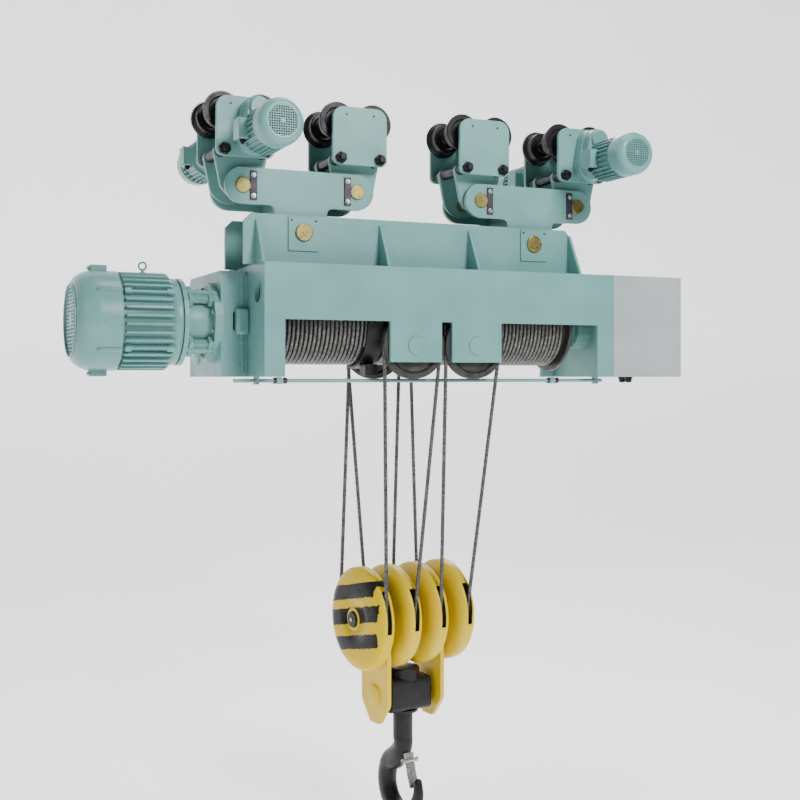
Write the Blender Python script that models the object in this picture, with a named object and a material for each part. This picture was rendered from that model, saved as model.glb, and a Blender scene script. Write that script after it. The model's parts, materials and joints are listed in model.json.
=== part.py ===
"""Electric wire rope hoist on four trolleys: frame, drum, motor, reeving and a four-sheave hook block.

Metres, +Z up. The origin is at the middle of the track, on the surface that the wheels run on.
X runs along the drum and the track, Y across the track, and the motor is at the -X end.
"""

import math

import bmesh
import bpy
from mathutils import Matrix, Vector

# Clearances
TOUCH = 0.0003  # between pieces that seat on each other
RUN = 0.0006  # radial, between a shaft and its bore

# Track and wheels
TREAD_R = 0.075
FLANGE_R = 0.0925
TREAD_IN = 0.055  # inner face of the wheels, from the track's middle
TREAD_OUT = 0.108
WHEEL_OUT = 0.125
AXLE_R = 0.022
WHEEL_HALF_PITCH = 0.093

# Trolleys
PLATE_IN = 0.16
PLATE_THICK = 0.02
PLATE_WIDE = 0.277
PLATE_TOP = 0.1345
PLATE_LOW = -0.1425
ROD_HALF_PITCH = 0.10
ROD_Z = -0.1115
ROD_R = 0.016
ROD_NUT_R = 0.03
NUT_THICK = 0.026
ROD_HALF_LONG = 0.222
HANGER_EAR = 0.03  # from a rod's middle to the hanger's corner
HANGER_IN = 0.078
HANGER_THICK = 0.022
HANGER_ROUND_R = 0.108

# Bogies
BOGIE_HALF_PITCH = 0.62
PIN_HALF_PITCH = 0.2835
TROLLEY_PIN_Z = -0.2645
TROLLEY_PIN_R = 0.03
TROLLEY_PIN_HEAD_R = 0.036
BOGIE_PIN_Z = -0.4765
BOGIE_PIN_R = 0.035
BOGIE_PIN_HEAD_R = 0.042
PIN_HEAD = 0.012
BEAM_IN = 0.112
BEAM_THICK = 0.024
BEAM_END_R = 0.087
BEAM_TOP_RISE = 0.084  # top edge above the trolley pins
NECK_HALF_WIDE = 0.131
NECK_DROP = 0.085  # neck end below the bogie pin
WEB_X = 0.105
WEB_THICK = 0.018

# Travel drives
CASE_IN = PLATE_IN + PLATE_THICK + TOUCH
CASE_LONG = 0.15
CASE_R = 0.085
CASE_X = 0.03
CASE_Z = -0.06
DRIVE_NECK_R = 0.052
DRIVE_MOTOR_R = 0.105
DRIVE_MOTOR_LONG = 0.2
DRIVE_COWL_LONG = 0.105

# Main frame
FRAME_X0 = -0.848
FRAME_LONG = 1.875
FRAME_WIDE = 0.58
FRAME_TOP = -0.6285
FRAME_HIGH = 0.524
FRAME_WALL = 0.02
WINDOW_HIGH = 0.264
WINDOW_SIDE = 0.098
SPY_HOLE_R = 0.046
SPY_HOLE_Y = -0.19
SPY_HOLE_Z = -0.7655
SUSPENSION_IN = 0.148
SUSPENSION_THICK = 0.02
SUSPENSION_HIGH = 0.233
SUSPENSION_X0 = -0.06
SUSPENSION_LONG = 1.75
BOSS_WIDE = 0.15
BOSS_THICK = 0.008
BOSS_DOWN = 0.086  # below the bogie pin
BOSS_UP = 0.072
GUSSET_X = (0.001, 0.62, 1.10, 1.68)
GUSSET_THICK = 0.014

# Gear case and hoist motor
CASE_THICK = 0.129
CASE_Y0 = -0.023
CASE_WIDE = 0.593
CASE_HIGH = 0.5
MOTOR_Y = 0.15
MOTOR_Z = -0.8925
MOTOR_R = 0.232
ADAPTER_LONG = 0.177
ADAPTER_R = 0.193
MOTOR_LONG = 0.284
COWL_LONG = 0.21
GRILLE_R = 0.163
SHELL = 0.012
STATOR_BORE_R = 0.125
ROTOR_GAP = 0.003
SHAFT_R = 0.028

# Drum and rope guide
DRUM_Z = -0.8905
ROPE_R = 0.00975
ROPE_ARC_STEPS = 8  # points along each half turn of the rope
DRUM_ROPE_R = 0.195  # to the middle of the rope
DRUM_FLANGE_R = 0.23
DRUM_WALL = 0.018
DRUM_SHAFT_R = 0.045
DRUM_FLANGE_X = 0.045
DRUM_FLANGE_THICK = 0.018
DRUM_END_X = 1.65
SPINDLE_R = 0.07
SPINDLE_HUB_R = 0.11
GUIDE_X = 0.535
GUIDE_WIDE = 0.085
GUIDE_GAP = 0.004
GUIDE_THICK = 0.013

# Limit rod
LIMIT_R = 0.009
LIMIT_Y = -0.13
LIMIT_DROP = 0.018
COLLAR_R = 0.0165
COLLAR_X = (0.12, 1.6)

# Electrics box
BOX_LONG = 0.41
BOX_WALL = 0.006
LID_THICK = 0.015

# Upper sheaves
UPPER_R = 0.148  # to the middle of the rope
UPPER_X = (0.757, 1.083)
UPPER_DROP = 0.15  # above the frame's lower edge
UPPER_Y = 0.2475
SHEAVE_HALF = 0.022
SHEAVE_LIP = 0.012
GROOVE_HALF = 0.007
SHEAVE_PIN_R = 0.03
HOUSING_HALF = 0.135
HOUSING_LOW = 0.07
DEAD_END_X = 0.96
DEAD_END_Y = 0.24
ANCHOR_DROP = 0.06  # the anchor block's foot below the window's upper edge
ANCHOR_HALF = 0.03
ANCHOR_HIGH = 0.1

# Hook block
BLOCK_X = -0.034
BLOCK_Z = -2.3375
BLOCK_TURN = math.radians(9)
LOWER_R = 0.22
LOWER_PITCH = 0.157
BLOCK_AXLE_R = 0.04
GUARD_R = 0.252
GUARD_HALF = 0.052
GUARD_WALL = 0.005
SLOT_HALF = 0.03
SLOT_LOW = -0.065
SLOT_HIGH = 0.16
CHEEK_THICK = 0.023
CHEEK_HALF = 0.1225
CHEEK_RISE = 0.06
CHEEK_DROP = 0.525
TRUNNION_DROP = 0.385
TRUNNION_R = 0.035
CROSSHEAD_HALF_LONG = 0.118
CROSSHEAD_HALF = 0.085
CROSSHEAD_UP = 0.075
CROSSHEAD_DOWN = 0.09
SHANK_R = 0.05
NUT_R = 0.066
NUT_HIGH = 0.04
BOWL_DROP = 0.865
BOWL_R = 0.095
HOOK_NECK_DROP = 0.66

PAINT = (0.30, 0.51, 0.48)


def row_x(along):
    """X of a point given by its distance along the frame from its motor end."""
    return FRAME_X0 + along


def bore_r(shaft_r, sides, gap=RUN):
    """Radius of a faceted bore that leaves the gap all round at every angle."""
    return (shaft_r + gap) / math.cos(math.pi / sides)


def clear_scene():
    for obj in list(bpy.data.objects):
        bpy.data.objects.remove(obj)


def mesh_from(bm):
    """A mesh with its faces pointing out."""
    bmesh.ops.recalc_face_normals(bm, faces=bm.faces)
    mesh = bpy.data.meshes.new("shape")
    bm.to_mesh(mesh)
    bm.free()
    return mesh


def box(low, high):
    bm = bmesh.new()
    bmesh.ops.create_cube(bm, size=1.0)
    size = Vector(high) - Vector(low)
    middle = (Vector(high) + Vector(low)) / 2
    matrix = Matrix.Translation(middle) @ Matrix.Diagonal(size).to_4x4()
    bmesh.ops.transform(bm, matrix=matrix, verts=bm.verts)
    return mesh_from(bm)


def turned(profile, centre, axis, sides):
    """A body of revolution from (along, radius) points, closed as a ring when it keeps off the axis."""
    bm = bmesh.new()
    along = Vector(axis).normalized()
    across = along.orthogonal().normalized()
    third = along.cross(across)
    rings = []
    for distance, radius in profile:
        middle = Vector(centre) + along * distance
        if radius < 1e-6:
            rings.append([bm.verts.new(middle)])
            continue
        ring = []
        for k in range(sides):
            turn = 2 * math.pi * k / sides
            outward = across * math.cos(turn) + third * math.sin(turn)
            ring.append(bm.verts.new(middle + outward * radius))
        rings.append(ring)
    solid_ends = len(rings[0]) == 1
    pairs = list(zip(rings, rings[1:] if solid_ends else rings[1:] + rings[:1]))
    for first, second in pairs:
        for k in range(sides):
            n = (k + 1) % sides
            corners = [first[k % len(first)], first[n % len(first)]]
            corners += [second[n % len(second)], second[k % len(second)]]
            unique = list(dict.fromkeys(corners))
            if len(unique) > 2:
                bm.faces.new(unique)
    return mesh_from(bm)


def rod(start, end, radius, sides):
    """A round bar between two points."""
    line = Vector(end) - Vector(start)
    return turned([(0, 0), (0, radius), (line.length, radius), (line.length, 0)], start, line, sides)


def arc(centre, radius, start, end, steps):
    """Points on an arc, angles in degrees."""
    points = []
    for k in range(steps + 1):
        turn = math.radians(start + (end - start) * k / steps)
        points.append((centre[0] + radius * math.cos(turn), centre[1] + radius * math.sin(turn)))
    return points


def plate(outline, low, high, plane="xz"):
    """A flat plate: the outline lies in the named plane and is as thick as low to high across it."""
    place = {
        "xz": lambda a, b, c: (a, c, b),
        "yz": lambda a, b, c: (c, a, b),
        "xy": lambda a, b, c: (a, b, c),
    }[plane]
    bm = bmesh.new()
    near = [bm.verts.new(place(a, b, low)) for a, b in outline]
    far = [bm.verts.new(place(a, b, high)) for a, b in outline]
    bm.faces.new(near)
    bm.faces.new(list(reversed(far)))
    for k in range(len(outline)):
        n = (k + 1) % len(outline)
        bm.faces.new([near[k], far[k], far[n], near[n]])
    return mesh_from(bm)


def moved(mesh, matrix):
    mesh.transform(matrix)
    return mesh


def mirrored_y(maker):
    """The same shape on both sides of the track."""
    front = maker()
    back = maker()
    back.transform(Matrix.Diagonal((1, -1, 1, 1)))
    back.flip_normals()
    return [front, back]


def paint(obj, colour, roughness, metallic):
    material = bpy.data.materials.new(obj.name)
    material.use_nodes = True
    shader = material.node_tree.nodes["Principled BSDF"]
    shader.inputs["Base Color"].default_value = (*colour, 1)
    shader.inputs["Roughness"].default_value = roughness
    shader.inputs["Metallic"].default_value = metallic
    obj.data.materials.clear()
    obj.data.materials.append(material)


def node(name, shapes, cuts=(), pivot=(0, 0, 0), colour=PAINT, roughness=0.45, metallic=0.2):
    """One named body: the shapes joined, the cuts taken out, with its origin on the pivot."""
    obj = bpy.data.objects.new(name, shapes[0])
    bpy.context.scene.collection.objects.link(obj)
    tools = []
    for operation, meshes in (("UNION", shapes[1:]), ("DIFFERENCE", cuts)):
        for mesh in meshes:
            tool = bpy.data.objects.new(name + "_tool", mesh)
            tool.hide_render = True
            tool.display_type = "WIRE"
            bpy.context.scene.collection.objects.link(tool)
            step = obj.modifiers.new("shape", "BOOLEAN")
            step.operation = operation
            step.solver = "EXACT"
            step.object = tool
            tools.append(tool)
    if tools:
        bpy.context.view_layer.update()
        evaluated = obj.evaluated_get(bpy.context.evaluated_depsgraph_get())
        shape = bpy.data.meshes.new_from_object(evaluated)
        obj.modifiers.clear()
        obj.data = shape
        for tool in tools:
            bpy.data.objects.remove(tool)
    obj.data.transform(Matrix.Translation(-Vector(pivot)))
    obj.location = pivot
    obj.data.shade_smooth()
    obj.data.set_sharp_from_angle(angle=math.radians(35))
    paint(obj, colour, roughness, metallic)
    return obj


# ---------------------------------------------------------------- trolleys

WHEEL_SIDES = 14
PIN_SIDES = 12
DARK = (0.02, 0.02, 0.022)
ZINC = (0.62, 0.56, 0.30)


def wheel(name, x, side):
    """A flanged wheel with its stub axle, the flange outside the track's edge."""
    profile = [
        (TREAD_IN, 0),
        (TREAD_IN, TREAD_R),
        (TREAD_OUT, TREAD_R),
        (TREAD_OUT + 0.003, FLANGE_R),
        (WHEEL_OUT, FLANGE_R),
        (WHEEL_OUT, AXLE_R),
        (PLATE_IN - TOUCH, AXLE_R),
        (PLATE_IN - TOUCH, 0),
    ]
    shape = turned(profile, (x, 0, TREAD_R), (0, side, 0), WHEEL_SIDES)
    node(name, [shape], pivot=(x, side * TREAD_OUT, TREAD_R), colour=DARK, roughness=0.4, metallic=0.6)


def trolley_plate(x):
    """A side plate: square at the foot, well rounded at the top."""
    half = PLATE_WIDE / 2
    low_r = 0.02
    top_r = 0.07
    outline = (
        arc((x + half - low_r, PLATE_LOW + low_r), low_r, -90, 0, 1)
        + arc((x + half - top_r, PLATE_TOP - top_r), top_r, 0, 90, 3)
        + arc((x - half + top_r, PLATE_TOP - top_r), top_r, 90, 180, 3)
        + arc((x - half + low_r, PLATE_LOW + low_r), low_r, 180, 270, 1)
    )
    return plate(outline, PLATE_IN, PLATE_IN + PLATE_THICK)


def hanger(x):
    """A hanger plate: it takes both rods at the top and is round about the trolley pin below."""
    top = ROD_Z + HANGER_EAR
    wide = ROD_HALF_PITCH + HANGER_EAR
    outline = arc((x, TROLLEY_PIN_Z), HANGER_ROUND_R, 190, 350, 6) + [
        (x + wide, ROD_Z - HANGER_EAR),
        (x + wide, top),
        (x - wide, top),
        (x - wide, ROD_Z - HANGER_EAR),
    ]
    return plate(outline, HANGER_IN, HANGER_IN + HANGER_THICK)


def trolley_frame(name, x):
    """Two side plates and two hanger plates held on two threaded rods."""
    plates = mirrored_y(lambda: trolley_plate(x))
    hangers = mirrored_y(lambda: hanger(x))
    shapes = [plates[0]]
    for side in (-1, 1):
        rod_x = x + side * ROD_HALF_PITCH
        out = PLATE_IN + PLATE_THICK
        profile = [
            (-ROD_HALF_LONG, 0),
            (-ROD_HALF_LONG, ROD_R),
            (-out - NUT_THICK, ROD_R),
            (-out - NUT_THICK, ROD_NUT_R),
            (-out + 0.004, ROD_NUT_R),
            (-out + 0.004, ROD_R),
            (out - 0.004, ROD_R),
            (out - 0.004, ROD_NUT_R),
            (out + NUT_THICK, ROD_NUT_R),
            (out + NUT_THICK, ROD_R),
            (ROD_HALF_LONG, ROD_R),
            (ROD_HALF_LONG, 0),
        ]
        shapes.append(turned(profile, (rod_x, 0, ROD_Z), (0, 1, 0), 8))
    shapes += [plates[1], *hangers]
    hole_r = bore_r(TROLLEY_PIN_R, PIN_SIDES)
    hole = rod((x, -PLATE_IN, TROLLEY_PIN_Z), (x, PLATE_IN, TROLLEY_PIN_Z), hole_r, PIN_SIDES)
    node(name, shapes, [hole], pivot=(x, 0, TROLLEY_PIN_Z))


def drive(name, x, side, toward):
    """A travel drive: rounded gear casing on the side plate, ribbed motor and bell cowl along Y."""
    middle = x + toward * CASE_X
    y0 = CASE_IN
    y1 = y0 + CASE_LONG
    y2 = y1 + DRIVE_MOTOR_LONG
    y3 = y2 + DRIVE_COWL_LONG
    lobe = CASE_R * 0.72
    top = PLATE_TOP - 0.01 - lobe
    outline = arc((middle, CASE_Z), CASE_R, 180, 360, 6) + arc((middle, top), lobe, 0, 180, 5)
    casing = plate(outline, y0, y1)
    motor = turned(
        [
            (y1 - 0.02, 0),
            (y1 - 0.02, DRIVE_NECK_R),
            (y1 + 0.012, DRIVE_NECK_R),
            (y1 + 0.012, DRIVE_MOTOR_R),
            (y2, DRIVE_MOTOR_R),
            (y3 - 0.03, DRIVE_MOTOR_R * 0.93),
            (y3, DRIVE_MOTOR_R * 0.72),
            (y3, 0),
        ],
        (middle, 0, CASE_Z),
        (0, 1, 0),
        16,
    )
    shapes = [casing, motor]
    if side < 0:
        for shape in shapes:
            shape.transform(Matrix.Diagonal((1, -1, 1, 1)))
            shape.flip_normals()
    rods = []
    for along in (-1, 1):
        rod_x = x + along * ROD_HALF_PITCH
        clear = ROD_NUT_R + 0.004
        start = (rod_x, side * (CASE_IN - 0.01), ROD_Z)
        rods.append(rod(start, (rod_x, side * (ROD_HALF_LONG + 0.006), ROD_Z), clear, 8))
    node(name, shapes, rods, pivot=(middle, side * y1, CASE_Z))


def trolley_pin(name, x):
    """A pin through both beam plates and the hanger between them, with a flat head in front."""
    out = BEAM_IN + BEAM_THICK
    profile = [
        (-out - PIN_HEAD, 0),
        (-out - PIN_HEAD, TROLLEY_PIN_HEAD_R),
        (-out - TOUCH, TROLLEY_PIN_HEAD_R),
        (-out - TOUCH, TROLLEY_PIN_R),
        (out + 0.008, TROLLEY_PIN_R),
        (out + 0.008, 0),
    ]
    shape = turned(profile, (x, 0, TROLLEY_PIN_Z), (0, 1, 0), PIN_SIDES)
    node(name, [shape], pivot=(x, 0, TROLLEY_PIN_Z), colour=ZINC, roughness=0.4, metallic=0.8)


def beam_plate(x):
    """The T-shaped side of a bogie beam: round ends at the trolley pins, a neck down to the bogie pin."""
    end = PIN_HALF_PITCH
    neck_foot = BOGIE_PIN_Z - NECK_DROP
    foot_r = 0.03
    sweep_r = 0.075
    sweep_x = NECK_HALF_WIDE + sweep_r
    sweep_z = TROLLEY_PIN_Z - BEAM_END_R - sweep_r + 0.012
    right = (
        arc((NECK_HALF_WIDE - foot_r, neck_foot + foot_r), foot_r, -90, 0, 1)
        + arc((sweep_x, sweep_z), sweep_r, 180, 100, 3)
        + arc((end, TROLLEY_PIN_Z), BEAM_END_R, -80, 60, 5)
        + [(end - 0.015, TROLLEY_PIN_Z + BEAM_TOP_RISE)]
    )
    left = [(-a, b) for a, b in reversed(right)]
    return plate([(x + a, b) for a, b in right + left], BEAM_IN, BEAM_IN + BEAM_THICK)


def bogie_beam(name, x):
    """Two T-shaped plates tied by two webs in the neck."""
    plates = mirrored_y(lambda: beam_plate(x))
    shapes = [plates[0]]
    inner = BEAM_IN + BEAM_THICK / 2
    low = BOGIE_PIN_Z - NECK_DROP + 0.02
    high = TROLLEY_PIN_Z + BEAM_TOP_RISE - 0.02
    for side in (-1, 1):
        at = x + side * WEB_X
        shapes.append(box((at - WEB_THICK / 2, -inner, low), (at + WEB_THICK / 2, inner, high)))
    shapes.append(plates[1])
    pin_bore = bore_r(BOGIE_PIN_R, PIN_SIDES)
    cuts = [rod((x, -0.2, BOGIE_PIN_Z), (x, 0.2, BOGIE_PIN_Z), pin_bore, PIN_SIDES)]
    for side in (-1, 1):
        at = x + side * PIN_HALF_PITCH
        seat_r = TROLLEY_PIN_R + TOUCH * 2
        cuts.append(rod((at, -0.2, TROLLEY_PIN_Z), (at, 0.2, TROLLEY_PIN_Z), seat_r, PIN_SIDES))
    node(name, shapes, cuts, pivot=(x, 0, BOGIE_PIN_Z))


def bogie_pin(name, x):
    """The pin that hangs one end of the frame from its bogie beam."""
    out = SUSPENSION_IN + SUSPENSION_THICK + BOSS_THICK
    profile = [
        (-out - PIN_HEAD, 0),
        (-out - PIN_HEAD, BOGIE_PIN_HEAD_R),
        (-out - TOUCH, BOGIE_PIN_HEAD_R),
        (-out - TOUCH, BOGIE_PIN_R),
        (out + 0.01, BOGIE_PIN_R),
        (out + 0.01, 0),
    ]
    shape = turned(profile, (x, 0, BOGIE_PIN_Z), (0, 1, 0), PIN_SIDES)
    node(name, [shape], pivot=(x, 0, BOGIE_PIN_Z), colour=ZINC, roughness=0.4, metallic=0.8)


def running_gear():
    """Two bogies of two trolleys; the outermost trolley of each bogie is driven on both sides."""
    number = 0
    for bogie, bogie_side in (("left", -1), ("right", 1)):
        bogie_x = bogie_side * BOGIE_HALF_PITCH
        bogie_beam("bogie_beam_" + bogie, bogie_x)
        bogie_pin("bogie_pin_" + bogie, bogie_x)
        for along in (-1, 1):
            number += 1
            x = bogie_x + along * PIN_HALF_PITCH
            trolley_frame(f"trolley_frame_{number}", x)
            trolley_pin(f"trolley_pin_{number}", x)
            for corner, (wheel_along, side) in enumerate(((-1, -1), (1, -1), (-1, 1), (1, 1)), 1):
                wheel(f"wheel_{number}_{corner}", x + wheel_along * WHEEL_HALF_PITCH, side)
            if along == bogie_side:
                drive(f"drive_{number}_front", x, -1, 1)
                drive(f"drive_{number}_back", x, 1, bogie_side)


# ---------------------------------------------------------------- frame and hoist

FRAME_X1 = FRAME_X0 + FRAME_LONG
FRAME_LOW = FRAME_TOP - FRAME_HIGH
HALF_WIDE = FRAME_WIDE / 2
SHEAVE_Z = FRAME_LOW + UPPER_DROP
LIMIT_Z = FRAME_LOW - LIMIT_DROP
LUG_HALF = 0.008


def suspension_plate():
    """A long plate on the frame's top with cut corners; the bogie pins pass through it."""
    x0 = row_x(SUSPENSION_X0)
    x1 = x0 + SUSPENSION_LONG
    top = FRAME_TOP + SUSPENSION_HIGH
    cut = 0.035
    outline = [
        (x0, FRAME_TOP - 0.004),
        (x1, FRAME_TOP - 0.004),
        (x1, top - cut),
        (x1 - cut, top),
        (x0 + cut, top),
        (x0, top - cut),
    ]
    return plate(outline, SUSPENSION_IN, SUSPENSION_IN + SUSPENSION_THICK)


def gusset(at):
    """A triangular rib between a suspension plate and the frame's top."""
    y0 = SUSPENSION_IN + SUSPENSION_THICK / 2
    outline = [
        (y0, FRAME_TOP - 0.004),
        (HALF_WIDE - 0.012, FRAME_TOP - 0.004),
        (HALF_WIDE - 0.012, FRAME_TOP + 0.012),
        (y0 + 0.02, FRAME_TOP + SUSPENSION_HIGH - 0.03),
        (y0, FRAME_TOP + SUSPENSION_HIGH - 0.03),
    ]
    x = row_x(at)
    return plate(outline, x - GUSSET_THICK / 2, x + GUSSET_THICK / 2, "yz")


def housing_plate(x):
    """The plate under the window's upper edge that carries an upper sheave."""
    low = FRAME_LOW + HOUSING_LOW
    high = FRAME_LOW + WINDOW_HIGH + 0.01
    return box((x - HOUSING_HALF, HALF_WIDE - FRAME_WALL, low), (x + HOUSING_HALF, HALF_WIDE, high))


def sheave_stub(x, side):
    """The cantilever pin of an upper sheave, with its round boss on the outside."""
    start = (x, side * (UPPER_Y - SHEAVE_HALF - 0.002), SHEAVE_Z)
    return rod(start, (x, side * (HALF_WIDE - 0.004), SHEAVE_Z), SHEAVE_PIN_R, 16)


def main_frame():
    """A box frame, open below, with a window in each long side and the suspension plates on top."""
    inner = HALF_WIDE - FRAME_WALL
    outer_box = box((FRAME_X0, -HALF_WIDE, FRAME_LOW), (FRAME_X1, HALF_WIDE, FRAME_TOP))
    hollow = box(
        (FRAME_X0 + FRAME_WALL, -inner, FRAME_LOW - 0.05),
        (FRAME_X1 - FRAME_WALL, inner, FRAME_TOP - FRAME_WALL),
    )
    window = box(
        (FRAME_X0 + WINDOW_SIDE, -HALF_WIDE - 0.05, FRAME_LOW - 0.05),
        (FRAME_X1 - WINDOW_SIDE, HALF_WIDE + 0.05, FRAME_LOW + WINDOW_HIGH),
    )
    shaft_hole = rod(
        (FRAME_X0 - 0.05, 0, DRUM_Z), (FRAME_X0 + 0.05, 0, DRUM_Z), DRUM_SHAFT_R + 0.004, 20
    )
    spy_start = (FRAME_X0 - 0.05, SPY_HOLE_Y, SPY_HOLE_Z)
    spy_end = (FRAME_X0 + 0.05, SPY_HOLE_Y, SPY_HOLE_Z)
    spy_hole = rod(spy_start, spy_end, SPY_HOLE_R, 20)
    frame = node("main_frame_shell", [outer_box], [hollow, window, shaft_hole, spy_hole])
    shell = frame.data
    shell.transform(frame.matrix_world)
    bpy.data.objects.remove(frame)
    shapes = [shell]
    shapes += mirrored_y(suspension_plate)
    for at in GUSSET_X:
        shapes += mirrored_y(lambda spot=at: gusset(spot))
    for side in (-1, 1):
        x = side * BOGIE_HALF_PITCH
        out = SUSPENSION_IN + SUSPENSION_THICK
        half = BOSS_WIDE / 2
        for y0, y1 in ((-out - BOSS_THICK, -out + 0.004), (out - 0.004, out + BOSS_THICK)):
            low = (x - half, y0, BOGIE_PIN_Z - BOSS_DOWN)
            shapes.append(box(low, (x + half, y1, BOGIE_PIN_Z + BOSS_UP)))
    for at in UPPER_X:
        front_housing = housing_plate(row_x(at))
        front_housing.transform(Matrix.Diagonal((1, -1, 1, 1)))
        front_housing.flip_normals()
        shapes += [front_housing, sheave_stub(row_x(at), -1)]
    back_housing = housing_plate(row_x(UPPER_X[0]))
    shapes += [back_housing, sheave_stub(row_x(UPPER_X[0]), 1)]
    anchor_x = row_x(DEAD_END_X)
    anchor_low = FRAME_LOW + WINDOW_HIGH - ANCHOR_DROP
    anchor_start = (anchor_x - ANCHOR_HALF, DEAD_END_Y + 0.014, anchor_low)
    anchor_end = (anchor_x + ANCHOR_HALF, inner + 0.004, anchor_low + ANCHOR_HIGH)
    shapes.append(box(anchor_start, anchor_end))
    spindle = [
        (row_x(DRUM_END_X) - 0.04, 0),
        (row_x(DRUM_END_X) - 0.04, SPINDLE_R),
        (FRAME_X1 - FRAME_WALL - 0.075, SPINDLE_R),
        (FRAME_X1 - FRAME_WALL - 0.075, SPINDLE_HUB_R),
        (FRAME_X1 - FRAME_WALL / 2, SPINDLE_HUB_R),
        (FRAME_X1 - FRAME_WALL / 2, 0),
    ]
    shapes.append(turned(spindle, (0, 0, DRUM_Z), (1, 0, 0), 16))
    for x in (FRAME_X0 + FRAME_WALL / 2, FRAME_X1 - FRAME_WALL / 2):
        low = (x - LUG_HALF, LIMIT_Y - 0.02, LIMIT_Z - 0.018)
        shapes.append(box(low, (x + LUG_HALF, LIMIT_Y + 0.02, FRAME_LOW + 0.004)))
    cuts = []
    for side in (-1, 1):
        x = side * BOGIE_HALF_PITCH
        seat_r = BOGIE_PIN_R + TOUCH * 2
        cuts.append(rod((x, -0.3, BOGIE_PIN_Z), (x, 0.3, BOGIE_PIN_Z), seat_r, PIN_SIDES))
    limit_bore = bore_r(LIMIT_R, 8)
    cuts.append(rod((FRAME_X0 - 0.2, LIMIT_Y, LIMIT_Z), (FRAME_X1 + 0.2, LIMIT_Y, LIMIT_Z), limit_bore, 8))
    node("main_frame", shapes, cuts)


def gear_case():
    """The reduction gear's casing on the frame's end, with the cage that carries the motor."""
    x1 = FRAME_X0 - TOUCH
    x0 = FRAME_X0 - CASE_THICK
    y1 = CASE_Y0 + CASE_WIDE
    low = FRAME_LOW
    high = FRAME_LOW + CASE_HIGH
    cut = 0.02
    outline = [
        (CASE_Y0, low),
        (y1, low),
        (y1, high - cut),
        (y1 - cut, high),
        (CASE_Y0 + cut, high),
        (CASE_Y0, high - cut),
    ]
    centre = (0, MOTOR_Y, MOTOR_Z)
    inner = ADAPTER_R - 0.055
    motor_x = x0 - ADAPTER_LONG
    near_ring = turned(
        [(x0 - 0.03, inner), (x0 - 0.03, ADAPTER_R), (x0 + 0.01, ADAPTER_R), (x0 + 0.01, inner)],
        centre, (1, 0, 0), 20,
    )
    far_ring = turned(
        [
            (motor_x + TOUCH, inner),
            (motor_x + TOUCH, ADAPTER_R + 0.015),
            (motor_x + 0.022, ADAPTER_R + 0.015),
            (motor_x + 0.022, inner),
        ],
        centre, (1, 0, 0), 20,
    )
    shapes = [plate(outline, x0, x1, "yz"), near_ring, far_ring]
    for k in range(4):
        turn = Matrix.Translation(centre) @ Matrix.Rotation(math.radians(45 + 90 * k), 4, "X")
        strut = box((motor_x + 0.01, -0.03, inner + 0.012), (x0 - 0.01, 0.03, ADAPTER_R - 0.012))
        shapes.append(moved(strut, turn))
    shaft_pocket = rod((x0 - 0.001, MOTOR_Y, MOTOR_Z), (x0 + 0.06, MOTOR_Y, MOTOR_Z), 0.045, 16)
    drum_pocket = rod((x1 - 0.07, 0, DRUM_Z), (x1 + 0.01, 0, DRUM_Z), DRUM_SHAFT_R + 0.004, 20)
    node("gear_case", shapes, [shaft_pocket, drum_pocket])


def hoist_motor():
    """The motor's body, its brake cowl and the rotor on its shaft."""
    centre = (0, MOTOR_Y, MOTOR_Z)
    x1 = FRAME_X0 - CASE_THICK - ADAPTER_LONG
    x0 = x1 - MOTOR_LONG
    wall = 0.03
    hole = SHAFT_R + 0.004
    body = turned(
        [
            (x0, hole),
            (x0, MOTOR_R),
            (x1 - 0.02, MOTOR_R),
            (x1, MOTOR_R - 0.02),
            (x1, hole),
            (x1 - wall, hole),
            (x1 - wall, STATOR_BORE_R),
            (x0 + wall, STATOR_BORE_R),
            (x0 + wall, hole),
        ],
        centre, (1, 0, 0), 24,
    )
    node("motor_housing", [body])
    c1 = x0 - TOUCH
    c0 = c1 - COWL_LONG
    cowl = turned(
        [
            (c0, GRILLE_R * 0.35),
            (c0, GRILLE_R),
            (c0 + 0.05, MOTOR_R - 0.02),
            (c0 + 0.12, MOTOR_R),
            (c1, MOTOR_R),
            (c1, MOTOR_R - SHELL),
            (c0 + 0.12, MOTOR_R - SHELL),
            (c0 + 0.06, MOTOR_R - 0.02 - SHELL),
            (c0 + 0.012, GRILLE_R * 0.35),
        ],
        centre, (1, 0, 0), 24,
    )
    node("motor_cowl", [cowl])
    core_r = STATOR_BORE_R - ROTOR_GAP
    rotor = turned(
        [
            (c0 + 0.09, 0),
            (c0 + 0.09, SHAFT_R),
            (x0 + wall + 0.02, SHAFT_R),
            (x0 + wall + 0.02, core_r),
            (x1 - wall - 0.02, core_r),
            (x1 - wall - 0.02, SHAFT_R),
            (FRAME_X0 - CASE_THICK + 0.05, SHAFT_R),
            (FRAME_X0 - CASE_THICK + 0.05, 0),
        ],
        centre, (1, 0, 0), 20,
    )
    node("motor_rotor", [rotor], pivot=centre, colour=(0.4, 0.4, 0.4), metallic=0.9)


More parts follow.
